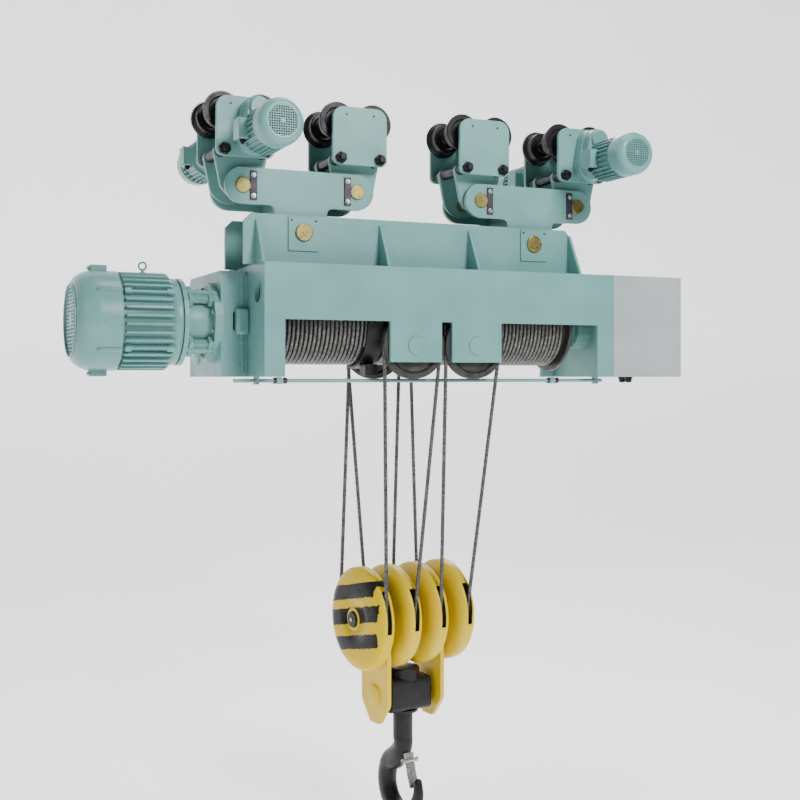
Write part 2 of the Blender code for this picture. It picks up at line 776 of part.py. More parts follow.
def drum():
    """The rope drum: shaft in the gear case, tube with two flanges, open end on the frame's spindle."""
    x0 = row_x(DRUM_FLANGE_X)
    x1 = row_x(DRUM_END_X)
    wound_r = DRUM_ROPE_R + ROPE_R - 0.001
    bare_r = DRUM_ROPE_R - ROPE_R - 0.0015
    left_end = row_x(GUIDE_X)
    right_start = row_x(GUIDE_X + GUIDE_WIDE + 0.022)
    inner = bare_r - DRUM_WALL
    bearing = bore_r(SPINDLE_R, 16)
    profile = [
        (FRAME_X0 - 0.055, 0),
        (FRAME_X0 - 0.055, DRUM_SHAFT_R),
        (x0, DRUM_SHAFT_R),
        (x0, DRUM_FLANGE_R),
        (x0 + DRUM_FLANGE_THICK, DRUM_FLANGE_R),
        (x0 + DRUM_FLANGE_THICK + 0.001, wound_r),
        (left_end, wound_r),
        (left_end + 0.001, bare_r),
        (right_start - 0.001, bare_r),
        (right_start, wound_r),
        (x1 - 0.001, wound_r),
        (x1, DRUM_FLANGE_R),
        (x1 + DRUM_FLANGE_THICK, DRUM_FLANGE_R),
        (x1 + DRUM_FLANGE_THICK, bearing),
        (x1 - 0.02, bearing),
        (x1 - 0.02, inner),
        (x0 + DRUM_FLANGE_THICK + 0.02, inner),
        (x0 + DRUM_FLANGE_THICK + 0.02, 0),
    ]
    shape = turned(profile, (0, 0, DRUM_Z), (1, 0, 0), 24)
    node("drum", [shape], pivot=(0, 0, DRUM_Z), colour=(0.1, 0.1, 0.1), metallic=0.7)


def rope_guide():
    """A C-shaped ring round the rope, open at the back below where the rope leaves, with a striker foot."""
    inner = DRUM_ROPE_R + ROPE_R + GUIDE_GAP
    outer = inner + GUIDE_THICK
    x0 = row_x(GUIDE_X)
    x1 = x0 + GUIDE_WIDE
    profile = [(x0, inner), (x0, outer), (x1, outer), (x1, inner)]
    ring = turned(profile, (0, 0, DRUM_Z), (1, 0, 0), 24)
    foot_y = LIMIT_Y + 0.045
    foot = box((x0 + 0.01, LIMIT_Y - 0.035, FRAME_LOW + 0.006), (x1 - 0.01, foot_y, FRAME_LOW + 0.075))
    mouth = box((x0 - 0.01, 0.05, DRUM_Z - 0.3), (x1 + 0.01, 0.3, DRUM_Z + 0.02))
    bore = rod((x0 - 0.02, 0, DRUM_Z), (x1 + 0.02, 0, DRUM_Z), inner - TOUCH, 24)
    node("rope_guide", [ring, foot], [mouth, bore], colour=DARK, metallic=0.5)


def limit_rod():
    """The rod under the frame that the rope guide pushes at each end of the lift."""
    start = FRAME_X0 - 0.1
    end = FRAME_X1 + 0.03
    profile = [(start, 0), (start, LIMIT_R)]
    for at in COLLAR_X:
        x = row_x(at)
        profile += [(x - 0.014, LIMIT_R), (x - 0.014, COLLAR_R), (x + 0.014, COLLAR_R), (x + 0.014, LIMIT_R)]
    profile += [(end, LIMIT_R), (end, 0)]
    shapes = [turned(profile, (0, LIMIT_Y, LIMIT_Z), (1, 0, 0), 8)]
    node("limit_rod", shapes, colour=(0.08, 0.14, 0.13), metallic=0.5)


def electrics():
    """The control box on the frame's free end, and its hinged lid."""
    x0 = FRAME_X1 + TOUCH
    x1 = x0 + BOX_LONG
    outer = box((x0, -HALF_WIDE, FRAME_LOW), (x1, HALF_WIDE, FRAME_TOP))
    inner = box(
        (x0 + BOX_WALL, -HALF_WIDE + BOX_WALL, FRAME_LOW + BOX_WALL),
        (x1 + 0.1, HALF_WIDE - BOX_WALL, FRAME_TOP - BOX_WALL),
    )
    way_low = (x0 - 0.1, LIMIT_Y - 0.03, FRAME_LOW - 0.05)
    rod_way = box(way_low, (x0 + 0.05, LIMIT_Y + 0.03, FRAME_LOW - 0.001))
    grey = (0.42, 0.45, 0.46)
    node("electrics_box", [outer], [inner, rod_way], colour=grey, metallic=0)
    lid = box((x1 + TOUCH, -HALF_WIDE, FRAME_LOW), (x1 + LID_THICK, HALF_WIDE, FRAME_TOP))
    node("electrics_lid", [lid], pivot=(x1 + LID_THICK, HALF_WIDE, 0), colour=grey, metallic=0)


# ---------------------------------------------------------------- sheaves, rope and hook block


def sheave_shape(rope_path_r, pin_r, centre, axis, sides):
    """A grooved sheave, bored to run on its pin."""
    bore = bore_r(pin_r, sides)
    groove_r = rope_path_r * math.cos(math.pi / 2 / ROPE_ARC_STEPS) - ROPE_R - 0.004
    lip_r = rope_path_r + SHEAVE_LIP
    profile = [
        (-SHEAVE_HALF, bore),
        (-SHEAVE_HALF, lip_r),
        (-SHEAVE_HALF + 0.003, lip_r),
        (-GROOVE_HALF, groove_r),
        (GROOVE_HALF, groove_r),
        (SHEAVE_HALF - 0.003, lip_r),
        (SHEAVE_HALF, lip_r),
        (SHEAVE_HALF, bore),
    ]
    return turned(profile, centre, axis, sides)


def upper_sheaves():
    spots = [(UPPER_X[0], -1), (UPPER_X[1], -1), (UPPER_X[0], 1)]
    for number, (at, side) in enumerate(spots, 1):
        centre = (row_x(at), side * UPPER_Y, SHEAVE_Z)
        shape = sheave_shape(UPPER_R, SHEAVE_PIN_R, centre, (0, 1, 0), 18)
        node(f"upper_sheave_{number}", [shape], pivot=centre)


def block_place():
    """The hook block's own frame: X along its axle, turned a little about the vertical."""
    return Matrix.Translation((BLOCK_X, 0, BLOCK_Z)) @ Matrix.Rotation(BLOCK_TURN, 4, "Z")


def sheave_offset(number):
    return (number - 2.5) * LOWER_PITCH


def guard(number):
    """A domed guard round one block sheave, slotted where the rope passes in front and behind."""
    bore = bore_r(BLOCK_AXLE_R, 18)
    outer = [(GUARD_HALF, bore), (GUARD_HALF - 0.005, 0.21), (0.02, GUARD_R)]
    inner = [(a - GUARD_WALL, r if r == bore else r - GUARD_WALL) for a, r in outer]
    profile = [(-a, r) for a, r in outer] + list(reversed(outer))
    profile += inner + [(-a, r) for a, r in reversed(inner)]
    u = sheave_offset(number)
    shape = turned(profile, (u, 0, 0), (1, 0, 0), 18)
    slots = []
    for side in (-1, 1):
        y = sorted((side * 0.18, side * 0.3))
        slots.append(box((u - SLOT_HALF, y[0], SLOT_LOW), (u + SLOT_HALF, y[1], SLOT_HIGH)))
    for mesh in [shape, *slots]:
        mesh.transform(block_place())
    node(f"guard_{number}", [shape], slots, colour=(0.72, 0.50, 0.02), metallic=0)


def cheek(name, side):
    """A cheek plate between two guards, from the axle down to the crosshead's trunnion."""
    u = side * LOWER_PITCH
    half = CHEEK_HALF
    outline = [
        (half, CHEEK_RISE - 0.04),
        (half - 0.04, CHEEK_RISE),
        (-half + 0.04, CHEEK_RISE),
        (-half, CHEEK_RISE - 0.04),
        (-half, -CHEEK_DROP + 0.13),
        (-half + 0.075, -CHEEK_DROP),
        (half - 0.075, -CHEEK_DROP),
        (half, -CHEEK_DROP + 0.13),
    ]
    shape = plate(outline, u - CHEEK_THICK / 2, u + CHEEK_THICK / 2, "yz")
    axle_hole = rod((u - 0.05, 0, 0), (u + 0.05, 0, 0), bore_r(BLOCK_AXLE_R, 20), 20)
    trunnion_hole = rod(
        (u - 0.05, 0, -TRUNNION_DROP), (u + 0.05, 0, -TRUNNION_DROP), bore_r(TRUNNION_R, 16), 16
    )
    for mesh in (shape, axle_hole, trunnion_hole):
        mesh.transform(block_place())
    node(name, [shape], [axle_hole, trunnion_hole], colour=(0.72, 0.50, 0.02), metallic=0)


def crosshead():
    """The block that carries the hook on a thrust seat and tilts on two trunnions."""
    long = CROSSHEAD_HALF_LONG
    low = -TRUNNION_DROP - CROSSHEAD_DOWN
    high = -TRUNNION_DROP + CROSSHEAD_UP
    cut = 0.025
    outline = [
        (-CROSSHEAD_HALF, low + cut),
        (-CROSSHEAD_HALF + cut, low),
        (CROSSHEAD_HALF - cut, low),
        (CROSSHEAD_HALF, low + cut),
        (CROSSHEAD_HALF, high - cut),
        (CROSSHEAD_HALF - cut, high),
        (-CROSSHEAD_HALF + cut, high),
        (-CROSSHEAD_HALF, high - cut),
    ]
    end = LOWER_PITCH + CHEEK_THICK / 2 + 0.014
    shapes = [
        plate(outline, -long, long, "yz"),
        rod((-end, 0, -TRUNNION_DROP), (end, 0, -TRUNNION_DROP), TRUNNION_R, 16),
    ]
    bore = rod((0, 0, low - 0.02), (0, 0, high + 0.02), bore_r(SHANK_R, 16), 16)
    for mesh in (*shapes, bore):
        mesh.transform(block_place())
    pivot = block_place() @ Vector((0, 0, -TRUNNION_DROP))
    node("crosshead", shapes, [bore], pivot=pivot, colour=DARK, metallic=0.5)


def hook_section(bm, y, z, tilt, depth, thick, sides=12):
    """One section across the hook's bar: depth in the hook's plane, thick across it."""
    ring = []
    for k in range(sides):
        turn = 2 * math.pi * k / sides
        swell = 1 + 0.16 * math.cos(turn)
        across = depth / 2 * math.cos(turn)
        along_x = thick / 2 * math.sin(turn) * swell
        ring.append(bm.verts.new((along_x, y + across * math.cos(tilt), z + across * math.sin(tilt))))
    return ring


def hook_bar():
    """The forged bar below the neck: spine, bowl and tip, opening to the front."""
    spine = [
        (0.0, -HOOK_NECK_DROP + 0.03, 0, 0.1, 0.1),
        (0.004, -HOOK_NECK_DROP - 0.02, -4, 0.098, 0.092),
        (0.03, -HOOK_NECK_DROP - 0.07, -22, 0.1, 0.086),
        (0.078, -HOOK_NECK_DROP - 0.11, -32, 0.104, 0.082),
    ]
    bm = bmesh.new()
    rings = [hook_section(bm, y, z, math.radians(t), d, w) for y, z, t, d, w in spine]
    steps = 12
    for k in range(steps + 1):
        share = k / steps
        turn = math.radians(28 - share * 226)
        depth = 0.098 + 0.012 * math.sin(math.pi * min(share * 1.6, 1)) - 0.062 * max(share - 0.55, 0) / 0.45
        thick = 0.086 - 0.045 * max(share - 0.5, 0) / 0.5
        radius = BOWL_R + depth / 2 + 0.03 * max(share - 0.72, 0) / 0.28
        y = radius * math.cos(turn)
        z = -BOWL_DROP + radius * math.sin(turn)
        rings.append(hook_section(bm, y, z, turn, depth, thick))
    for first, second in zip(rings, rings[1:]):
        for k in range(len(first)):
            n = (k + 1) % len(first)
            bm.faces.new([first[k], first[n], second[n], second[k]])
    bm.faces.new(rings[0])
    bm.faces.new(rings[-1])
    return mesh_from(bm)


def hook():
    """The hook with its shank through the crosshead and the nut on top."""
    seat = -TRUNNION_DROP + CROSSHEAD_UP + TOUCH
    shank = turned(
        [
            (seat + NUT_HIGH, 0),
            (seat + NUT_HIGH, NUT_R),
            (seat, NUT_R),
            (seat, SHANK_R),
            (-HOOK_NECK_DROP, SHANK_R),
            (-HOOK_NECK_DROP, 0),
        ],
        (0, 0, 0), (0, 0, 1), 16,
    )
    bar = hook_bar()
    for mesh in (shank, bar):
        mesh.transform(block_place())
    node("hook", [shank, bar], pivot=block_place().translation, colour=DARK, metallic=0.5)


LATCH_PIVOT = (-0.064, -0.722)
LATCH_TIP = (-0.106, -0.846)


def hook_latch():
    """The sprung strip that closes the hook's mouth from inside the tip."""
    (y0, z0), (y1, z1) = LATCH_PIVOT, LATCH_TIP
    line = Vector((y1 - y0, z1 - z0)).normalized()
    side = Vector((-line.y, line.x)) * 0.004
    outline = [
        (y0 + side.x, z0 + side.y),
        (y0 - side.x, z0 - side.y),
        (y1 - side.x, z1 - side.y),
        (y1 + side.x, z1 + side.y),
    ]
    strip = plate(outline, -0.022, 0.022, "yz")
    knuckle = rod((-0.03, y0, z0), (0.03, y0, z0), 0.009, 10)
    for mesh in (strip, knuckle):
        mesh.transform(block_place())
    pivot = block_place() @ Vector((0, y0, z0))
    node("hook_latch", [strip, knuckle], pivot=pivot, colour=(0.5, 0.5, 0.5), metallic=0.9)


def hook_block():
    for number in range(1, 5):
        guard(number)
        centre = block_place() @ Vector((sheave_offset(number), 0, 0))
        axis = block_place().to_3x3() @ Vector((1, 0, 0))
        shape = sheave_shape(LOWER_R, BLOCK_AXLE_R, centre, axis, 18)
        node(f"block_sheave_{number}", [shape], pivot=centre)
    cheek("cheek_left", -1)
    cheek("cheek_right", 1)
    half = 1.5 * LOWER_PITCH + GUARD_HALF + 0.012
    axle = rod((-half, 0, 0), (half, 0, 0), BLOCK_AXLE_R, 20)
    axle.transform(block_place())
    node("sheave_axle", [axle], pivot=block_place().translation, colour=DARK, metallic=0.5)
    crosshead()
    hook()
    hook_latch()


def rope_route():
    """The rope's middle line: from the drum down and up through eight falls to the dead end."""
    def lower(number, side):
        return block_place() @ Vector((sheave_offset(number), side * LOWER_R, 0))

    def lower_arc(number, start_side):
        points = []
        for k in range(1, ROPE_ARC_STEPS):
            turn = math.pi * k / ROPE_ARC_STEPS
            local = (sheave_offset(number), start_side * LOWER_R * math.cos(turn), -LOWER_R * math.sin(turn))
            points.append(block_place() @ Vector(local))
        return [lower(number, start_side), *points, lower(number, -start_side)]

    def upper_arc(at, side):
        points = []
        for k in range(ROPE_ARC_STEPS + 1):
            turn = math.pi * (1 - k / ROPE_ARC_STEPS)
            x = row_x(at) + UPPER_R * math.cos(turn)
            points.append(Vector((x, side * UPPER_Y, SHEAVE_Z + UPPER_R * math.sin(turn))))
        return points

    start = Vector((row_x(GUIDE_X + GUIDE_WIDE - 0.011), DRUM_ROPE_R, DRUM_Z))
    end = Vector((row_x(DEAD_END_X), DEAD_END_Y, FRAME_LOW + WINDOW_HIGH - 0.02))
    route = [start]
    route += lower_arc(1, 1)
    route += upper_arc(UPPER_X[0], -1)
    route += lower_arc(2, -1)
    route += upper_arc(UPPER_X[0], 1)
    route += lower_arc(3, 1)
    route += upper_arc(UPPER_X[1], -1)
    route += lower_arc(4, -1)
    return route + [end]


def wire_rope():
    curve = bpy.data.curves.new("wire_rope", "CURVE")
    curve.dimensions = "3D"
    curve.bevel_depth = ROPE_R
    curve.bevel_resolution = 2
    curve.use_fill_caps = True
    spline = curve.splines.new("POLY")
    route = rope_route()
    spline.points.add(len(route) - 1)
    for point, place in zip(spline.points, route):
        point.co = (*place, 1)
    tube = bpy.data.objects.new("rope_curve", curve)
    bpy.context.scene.collection.objects.link(tube)
    bpy.context.view_layer.update()
    mesh = bpy.data.meshes.new_from_object(tube.evaluated_get(bpy.context.evaluated_depsgraph_get()))
    bpy.data.objects.remove(tube)
    bm = bmesh.new()
    bm.from_mesh(mesh)
    bmesh.ops.remove_doubles(bm, verts=bm.verts, dist=0.00001)
    node("wire_rope", [mesh_from(bm)], colour=(0.12, 0.12, 0.12), metallic=0.8)


def main():
    clear_scene()
    running_gear()
    main_frame()
    gear_case()
    hoist_motor()
    drum()
    rope_guide()
    limit_rod()
    electrics()
    upper_sheaves()
    hook_block()
    wire_rope()


main()
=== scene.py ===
"""Finishes an electric wire rope hoist: paint, ribs, bolts, gear teeth, stranded rope and studio."""

import json
import math

import bmesh
import bpy
from bpy.props import FloatProperty, FloatVectorProperty, IntProperty, PointerProperty
from mathutils import Matrix, Vector


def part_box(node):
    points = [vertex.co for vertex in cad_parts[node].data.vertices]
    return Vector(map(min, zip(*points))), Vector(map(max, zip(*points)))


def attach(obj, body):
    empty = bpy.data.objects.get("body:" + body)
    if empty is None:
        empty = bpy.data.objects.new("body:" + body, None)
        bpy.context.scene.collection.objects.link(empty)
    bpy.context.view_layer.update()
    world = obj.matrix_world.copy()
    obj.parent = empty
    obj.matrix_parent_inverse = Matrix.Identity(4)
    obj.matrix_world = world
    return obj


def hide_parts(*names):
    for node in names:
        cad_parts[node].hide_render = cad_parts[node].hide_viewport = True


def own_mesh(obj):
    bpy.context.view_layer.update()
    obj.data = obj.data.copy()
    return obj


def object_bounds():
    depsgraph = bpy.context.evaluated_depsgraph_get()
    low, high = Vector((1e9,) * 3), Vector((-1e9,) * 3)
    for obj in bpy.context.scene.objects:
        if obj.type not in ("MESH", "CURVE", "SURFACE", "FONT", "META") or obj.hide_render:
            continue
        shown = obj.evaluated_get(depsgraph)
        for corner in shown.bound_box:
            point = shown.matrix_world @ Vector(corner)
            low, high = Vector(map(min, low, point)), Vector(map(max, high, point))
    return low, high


bl_info = {
    "name": "Wire Rope Hoist Finisher",
    "version": (1, 0, 0),
    "blender": (4, 5, 0),
    "location": "3D View > Sidebar > Hoist",
    "description": "Adds the visible detail and finishes of an electric wire rope hoist",
    "category": "Object",
}


def pivot(name):
    """The place of a joint."""
    return JOINTS[name]["pos_m"]


def turned_at(spot, turn, axis):
    """A place turned about one of the main directions."""
    return Matrix.Translation(spot) @ Matrix.Rotation(turn, 4, axis)


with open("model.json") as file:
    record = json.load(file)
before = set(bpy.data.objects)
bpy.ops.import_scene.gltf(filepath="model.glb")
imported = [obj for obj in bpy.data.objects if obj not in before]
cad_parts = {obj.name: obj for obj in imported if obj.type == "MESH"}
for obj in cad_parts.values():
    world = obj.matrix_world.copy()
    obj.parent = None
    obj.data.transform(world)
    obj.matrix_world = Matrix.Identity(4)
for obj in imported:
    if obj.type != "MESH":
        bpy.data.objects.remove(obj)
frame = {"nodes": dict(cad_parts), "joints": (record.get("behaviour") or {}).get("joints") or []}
CAD_BOX = [list(corner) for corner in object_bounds()]
JOINTS = {joint["name"]: joint for joint in frame["joints"]}

# Places that come from the frame
FRAME_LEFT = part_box("gear_case")[1].x
BODY_LOW, BODY_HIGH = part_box("motor_housing")
COWL_LOW, COWL_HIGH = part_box("motor_cowl")
BOX_LOW, BOX_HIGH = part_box("electrics_box")
LID_LOW, LID_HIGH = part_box("electrics_lid")
DRUM_LOW, DRUM_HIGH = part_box("drum")
GUIDE_LOW, GUIDE_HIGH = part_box("rope_guide")
MOTOR_MIDDLE = (BODY_LOW + BODY_HIGH) / 2
DRUM_MIDDLE = (DRUM_LOW + DRUM_HIGH) / 2
FRAME_TOP = BOX_HIGH.z
FRAME_BASE = BOX_LOW.z
HALF_WIDE = BOX_HIGH.y
AXLE = Vector(JOINTS["crosshead_tilt"]["axis"])
BLOCK_MIDDLE = sum((Vector(pivot(f"block_sheave_{n}_turn")) for n in range(1, 5)), Vector()) / 4
BLOCK = turned_at(BLOCK_MIDDLE, math.atan2(AXLE.y, AXLE.x), "Z")
HERE = Matrix.Identity(4)

# Sizes of the hoist, in metres
ROPE_R = 0.00975
ROPE_NORMAL = Vector((1, 0, 0))
WOUND_R = 0.194
FLANGE_IN = 0.045
FLANGE_THICK = 0.018
UPPER_SHEAVE_R = 0.148
BLOCK_SHEAVE_R = 0.22
SHEAVE_PITCH = 0.157
SHEAVE_HALF = 0.021
CROSSHEAD_DROP = 0.385
TIE_ROD_Z = -0.1115
TIE_ROD_SPREAD = 0.1
PLATE_OUTSIDE = 0.18
DRIVE_Z = -0.06
WHEEL_FACE = 0.1245
LOBE_R = 0.0612
BLADE_TILT = 0.4
CASE_HEIGHT = 0.5
CASE_WIDTH = 0.129
DRIVEN_TROLLEYS = (1, 4)
TROLLEYS = (1, 2, 3, 4)
BLOCK_SHEAVES = (1, 2, 3, 4)
UPPER_SHEAVES = (1, 2, 3)
ENDS = (-1, 1)
DRIVES = {
    "drive_1_front": ("trolley_1", -1),
    "drive_1_back": ("trolley_1", 1),
    "drive_4_front": ("trolley_4", -1),
    "drive_4_back": ("trolley_4", 1),
}


# ---------------------------------------------------------------- sizes and colours


class HoistColours(bpy.types.PropertyGroup):
    paint: FloatVectorProperty(
        name="Frame paint", description="Grey-green enamel of the frame and motors",
        subtype="COLOR", default=(0.128, 0.295, 0.278), min=0, max=1,
    )
    box: FloatVectorProperty(
        name="Control box paint", description="Light grey of the control box",
        subtype="COLOR", default=(0.33, 0.37, 0.38), min=0, max=1,
    )
    block: FloatVectorProperty(
        name="Block paint", description="Yellow of the hook block",
        subtype="COLOR", default=(0.62, 0.43, 0.002), min=0, max=1,
    )
    dark: FloatVectorProperty(
        name="Dark iron", description="Blackened iron of the wheels, rods and hook",
        subtype="COLOR", default=(0.008, 0.0075, 0.0085), min=0, max=1,
    )
    zinc: FloatVectorProperty(
        name="Plated pins", description="Yellow zinc plate of the pins and bolts",
        subtype="COLOR", default=(0.30, 0.25, 0.08), min=0, max=1,
    )


class HoistSizes(bpy.types.PropertyGroup):
    rope_pitch: FloatProperty(
        name="Rope pitch", description="Distance between turns on the drum",
        default=0.0215, min=0.02, max=0.03, unit="LENGTH",
    )
    rope_lay: FloatProperty(
        name="Rope lay", description="Length of one full twist of the rope's strands",
        default=0.13, min=0.05, max=0.3, unit="LENGTH",
    )
    motor_ribs: IntProperty(
        name="Motor ribs", description="Cooling ribs round the hoist motor", default=36, min=12,
        max=60,
    )
    drive_ribs: IntProperty(
        name="Drive ribs", description="Cooling ribs round a travel motor", default=28, min=8,
        max=48,
    )
    wheel_teeth: IntProperty(
        name="Wheel teeth", description="Gear teeth on a driven wheel's flange", default=46,
        min=20, max=80,
    )
    edge: FloatProperty(
        name="Edge", description="Width of the rounding on plate edges",
        default=0.002, min=0.0002, max=0.01, unit="LENGTH",
    )


def colours():
    return bpy.context.scene.hoist_colours


def sizes():
    return bpy.context.scene.hoist_sizes


# ---------------------------------------------------------------- finishes


def shader_of(name):
    """A new node material, its node tree and its Principled shader."""
    material = bpy.data.materials.new(name)
    material.use_nodes = True
    tree = material.node_tree
    return material, tree, tree.nodes["Principled BSDF"]


def noise(tree, scale, detail=4.0, rough=0.55, stretch=(1, 1, 1)):
    """Noise over the piece's own coordinates."""
    place = tree.nodes.new("ShaderNodeTexCoord")
    mapping = tree.nodes.new("ShaderNodeMapping")
    mapping.inputs["Scale"].default_value = stretch
    tree.links.new(place.outputs["Object"], mapping.inputs["Vector"])
    texture = tree.nodes.new("ShaderNodeTexNoise")
    texture.inputs["Scale"].default_value = scale
    texture.inputs["Detail"].default_value = detail
    texture.inputs["Roughness"].default_value = rough
    tree.links.new(mapping.outputs["Vector"], texture.inputs["Vector"])
    return texture.outputs["Fac"]


def ramp(tree, value, stops):
    """Colours along a value; each stop is a position and a colour."""
    node = tree.nodes.new("ShaderNodeValToRGB")
    elements = node.color_ramp.elements
    while len(elements) < len(stops):
        elements.new(0.5)
    for element, (position, colour) in zip(elements, stops):
        element.position = position
        element.color = (*colour, 1)
    tree.links.new(value, node.inputs["Fac"])
    return node.outputs["Color"]


def ranged(tree, value, low, high, from_low=0.3, from_high=0.7):
    """A value brought into a range."""
    node = tree.nodes.new("ShaderNodeMapRange")
    node.inputs["From Min"].default_value = from_low
    node.inputs["From Max"].default_value = from_high
    node.inputs["To Min"].default_value = low
    node.inputs["To Max"].default_value = high
    tree.links.new(value, node.inputs["Value"])
    return node.outputs["Result"]


def relief(tree, shader, height, strength, distance, edge=0.0018):
    """Fine relief over softly rounded edges."""
    soft = tree.nodes.new("ShaderNodeBevel")
    soft.samples = 4
    soft.inputs["Radius"].default_value = edge
    bump = tree.nodes.new("ShaderNodeBump")
    bump.inputs["Strength"].default_value = strength
    bump.inputs["Distance"].default_value = distance
    tree.links.new(height, bump.inputs["Height"])
    tree.links.new(soft.outputs["Normal"], bump.inputs["Normal"])
    tree.links.new(bump.outputs["Normal"], shader.inputs["Normal"])


def shade(colour, amount):
    return tuple(max(0.0, min(1.0, channel * amount)) for channel in colour)


def enamel(name, colour, gloss=0.36, dust=(0.30, 0.29, 0.25)):
    """Sprayed machine enamel: faint clouding, orange peel, and dust-dulled patches."""
    material, tree, shader = shader_of(name)
    cloud = noise(tree, 3.2, 5)
    tint = ramp(tree, cloud, [(0.32, shade(colour, 0.88)), (0.55, colour), (0.75, shade(colour, 1.08))])
    speck = noise(tree, 55, 6, 0.7)
    stain = ranged(tree, speck, 0, 0.35, 0.66, 0.8)
    mix = tree.nodes.new("ShaderNodeMix")
    mix.data_type = "RGBA"
    tree.links.new(stain, mix.inputs["Factor"])
    tree.links.new(tint, mix.inputs["A"])
    mix.inputs["B"].default_value = (*shade(dust, 0.5), 1)
    tree.links.new(mix.outputs["Result"], shader.inputs["Base Color"])
    patches = noise(tree, 9, 5)
    tree.links.new(ranged(tree, patches, gloss - 0.06, gloss + 0.14), shader.inputs["Roughness"])
    shader.inputs["Specular IOR Level"].default_value = 0.32
    shader.inputs["Coat Weight"].default_value = 0.06
    shader.inputs["Coat Roughness"].default_value = 0.25
    relief(tree, shader, noise(tree, 240, 2), 0.12, 0.0006, sizes().edge)
    return material


def calculate(tree, operation, *terms):
    """A maths node whose terms are sockets or plain numbers."""
    node = tree.nodes.new("ShaderNodeMath")
    node.operation = operation
    for socket, term in zip(node.inputs, terms):
        if isinstance(term, (int, float)):
            socket.default_value = term
        else:
            tree.links.new(term, socket)
    return node.outputs["Value"]


def striped_enamel(name, colour, stripes):
    """Block enamel with black stripes brushed across it, each as (middle, half width, end)."""
    material = enamel(name, colour, 0.28)
    tree = material.node_tree
    shader = tree.nodes["Principled BSDF"]
    painted = shader.inputs["Base Color"].links[0].from_socket
    shader.inputs["Specular IOR Level"].default_value = 0.1
    shader.inputs["Coat Weight"].default_value = 0
    place = tree.nodes.new("ShaderNodeTexCoord")
    split = tree.nodes.new("ShaderNodeSeparateXYZ")
    tree.links.new(place.outputs["Object"], split.inputs["Vector"])
    ragged = ranged(tree, noise(tree, 60, 4), -0.004, 0.004)
    lean = calculate(tree, "MULTIPLY_ADD", split.outputs["Y"], STRIPE_LEAN, ragged)
    height = calculate(tree, "ADD", split.outputs["Z"], lean)
    along = calculate(tree, "ADD", split.outputs["Y"], ragged)
    total = None
    for middle, half, end in stripes:
        inside = calculate(tree, "COMPARE", height, middle, half)
        before = calculate(tree, "GREATER_THAN", along, end)
        kept = calculate(tree, "MULTIPLY", inside, before)
        total = calculate(tree, "MAXIMUM", total, kept) if total else kept
    mix = tree.nodes.new("ShaderNodeMix")
    mix.data_type = "RGBA"
    tree.links.new(total, mix.inputs["Factor"])
    tree.links.new(painted, mix.inputs["A"])
    mix.inputs["B"].default_value = (0.012, 0.012, 0.011, 1)
    tree.links.new(mix.outputs["Result"], shader.inputs["Base Color"])
    return material


def forged(name, colour, rough=0.42, metallic=0.55):
    """Blackened or oiled iron: mottled, with a fine cast skin."""
    material, tree, shader = shader_of(name)
    mottle = noise(tree, 14, 6, 0.65)
    tint = ramp(tree, mottle, [(0.35, shade(colour, 0.7)), (0.6, colour), (0.8, shade(colour, 2.2))])
    tree.links.new(tint, shader.inputs["Base Color"])
    tree.links.new(
        ranged(tree, noise(tree, 22, 5), rough - 0.1, rough + 0.16), shader.inputs["Roughness"],
    )
    shader.inputs["Specular IOR Level"].default_value = 0.28
    shader.inputs["Metallic"].default_value = metallic
    relief(tree, shader, noise(tree, 160, 5, 0.7), 0.3, 0.0008)
    return material


def plated(name, colour, rough=0.3):
    """Plated or brushed bare steel: drawn lines and an uneven sheen."""
    material, tree, shader = shader_of(name)
    tint = ramp(
        tree, noise(tree, 25, 5),
        [(0.3, shade(colour, 0.72)), (0.6, colour), (0.8, shade(colour, 1.2))],
    )
    tree.links.new(tint, shader.inputs["Base Color"])
    tree.links.new(
        ranged(tree, noise(tree, 60, 4, 0.6, (1, 8, 1)), rough - 0.08, rough + 0.15),
        shader.inputs["Roughness"],
    )
    shader.inputs["Metallic"].default_value = 0.85
    relief(tree, shader, noise(tree, 220, 3, 0.6, (1, 10, 1)), 0.12, 0.0004)
    return material


def greased_wire(name):
    """Steel wire rope: the strands are modelled, and fine wires run along them."""
    material, tree, shader = shader_of(name)
    tint = ramp(
        tree, noise(tree, 70, 6, 0.7),
        [(0.3, (0.03, 0.03, 0.028)), (0.55, (0.12, 0.12, 0.115)), (0.78, (0.30, 0.30, 0.29))],
    )
    tree.links.new(tint, shader.inputs["Base Color"])
    tree.links.new(ranged(tree, noise(tree, 50, 4), 0.3, 0.55), shader.inputs["Roughness"])
    shader.inputs["Metallic"].default_value = 0.75
    relief(tree, shader, noise(tree, 900, 3, 0.6, (1, 1, 0.35)), 0.5, 0.0008, 0.0003)
    return material


FINISHES = {}
STRIPES = ((0.128, 0.037, -0.212), (0.008, 0.040, -0.256), (-0.122, 0.034, -0.25))
STRIPE_LEAN = 0.21


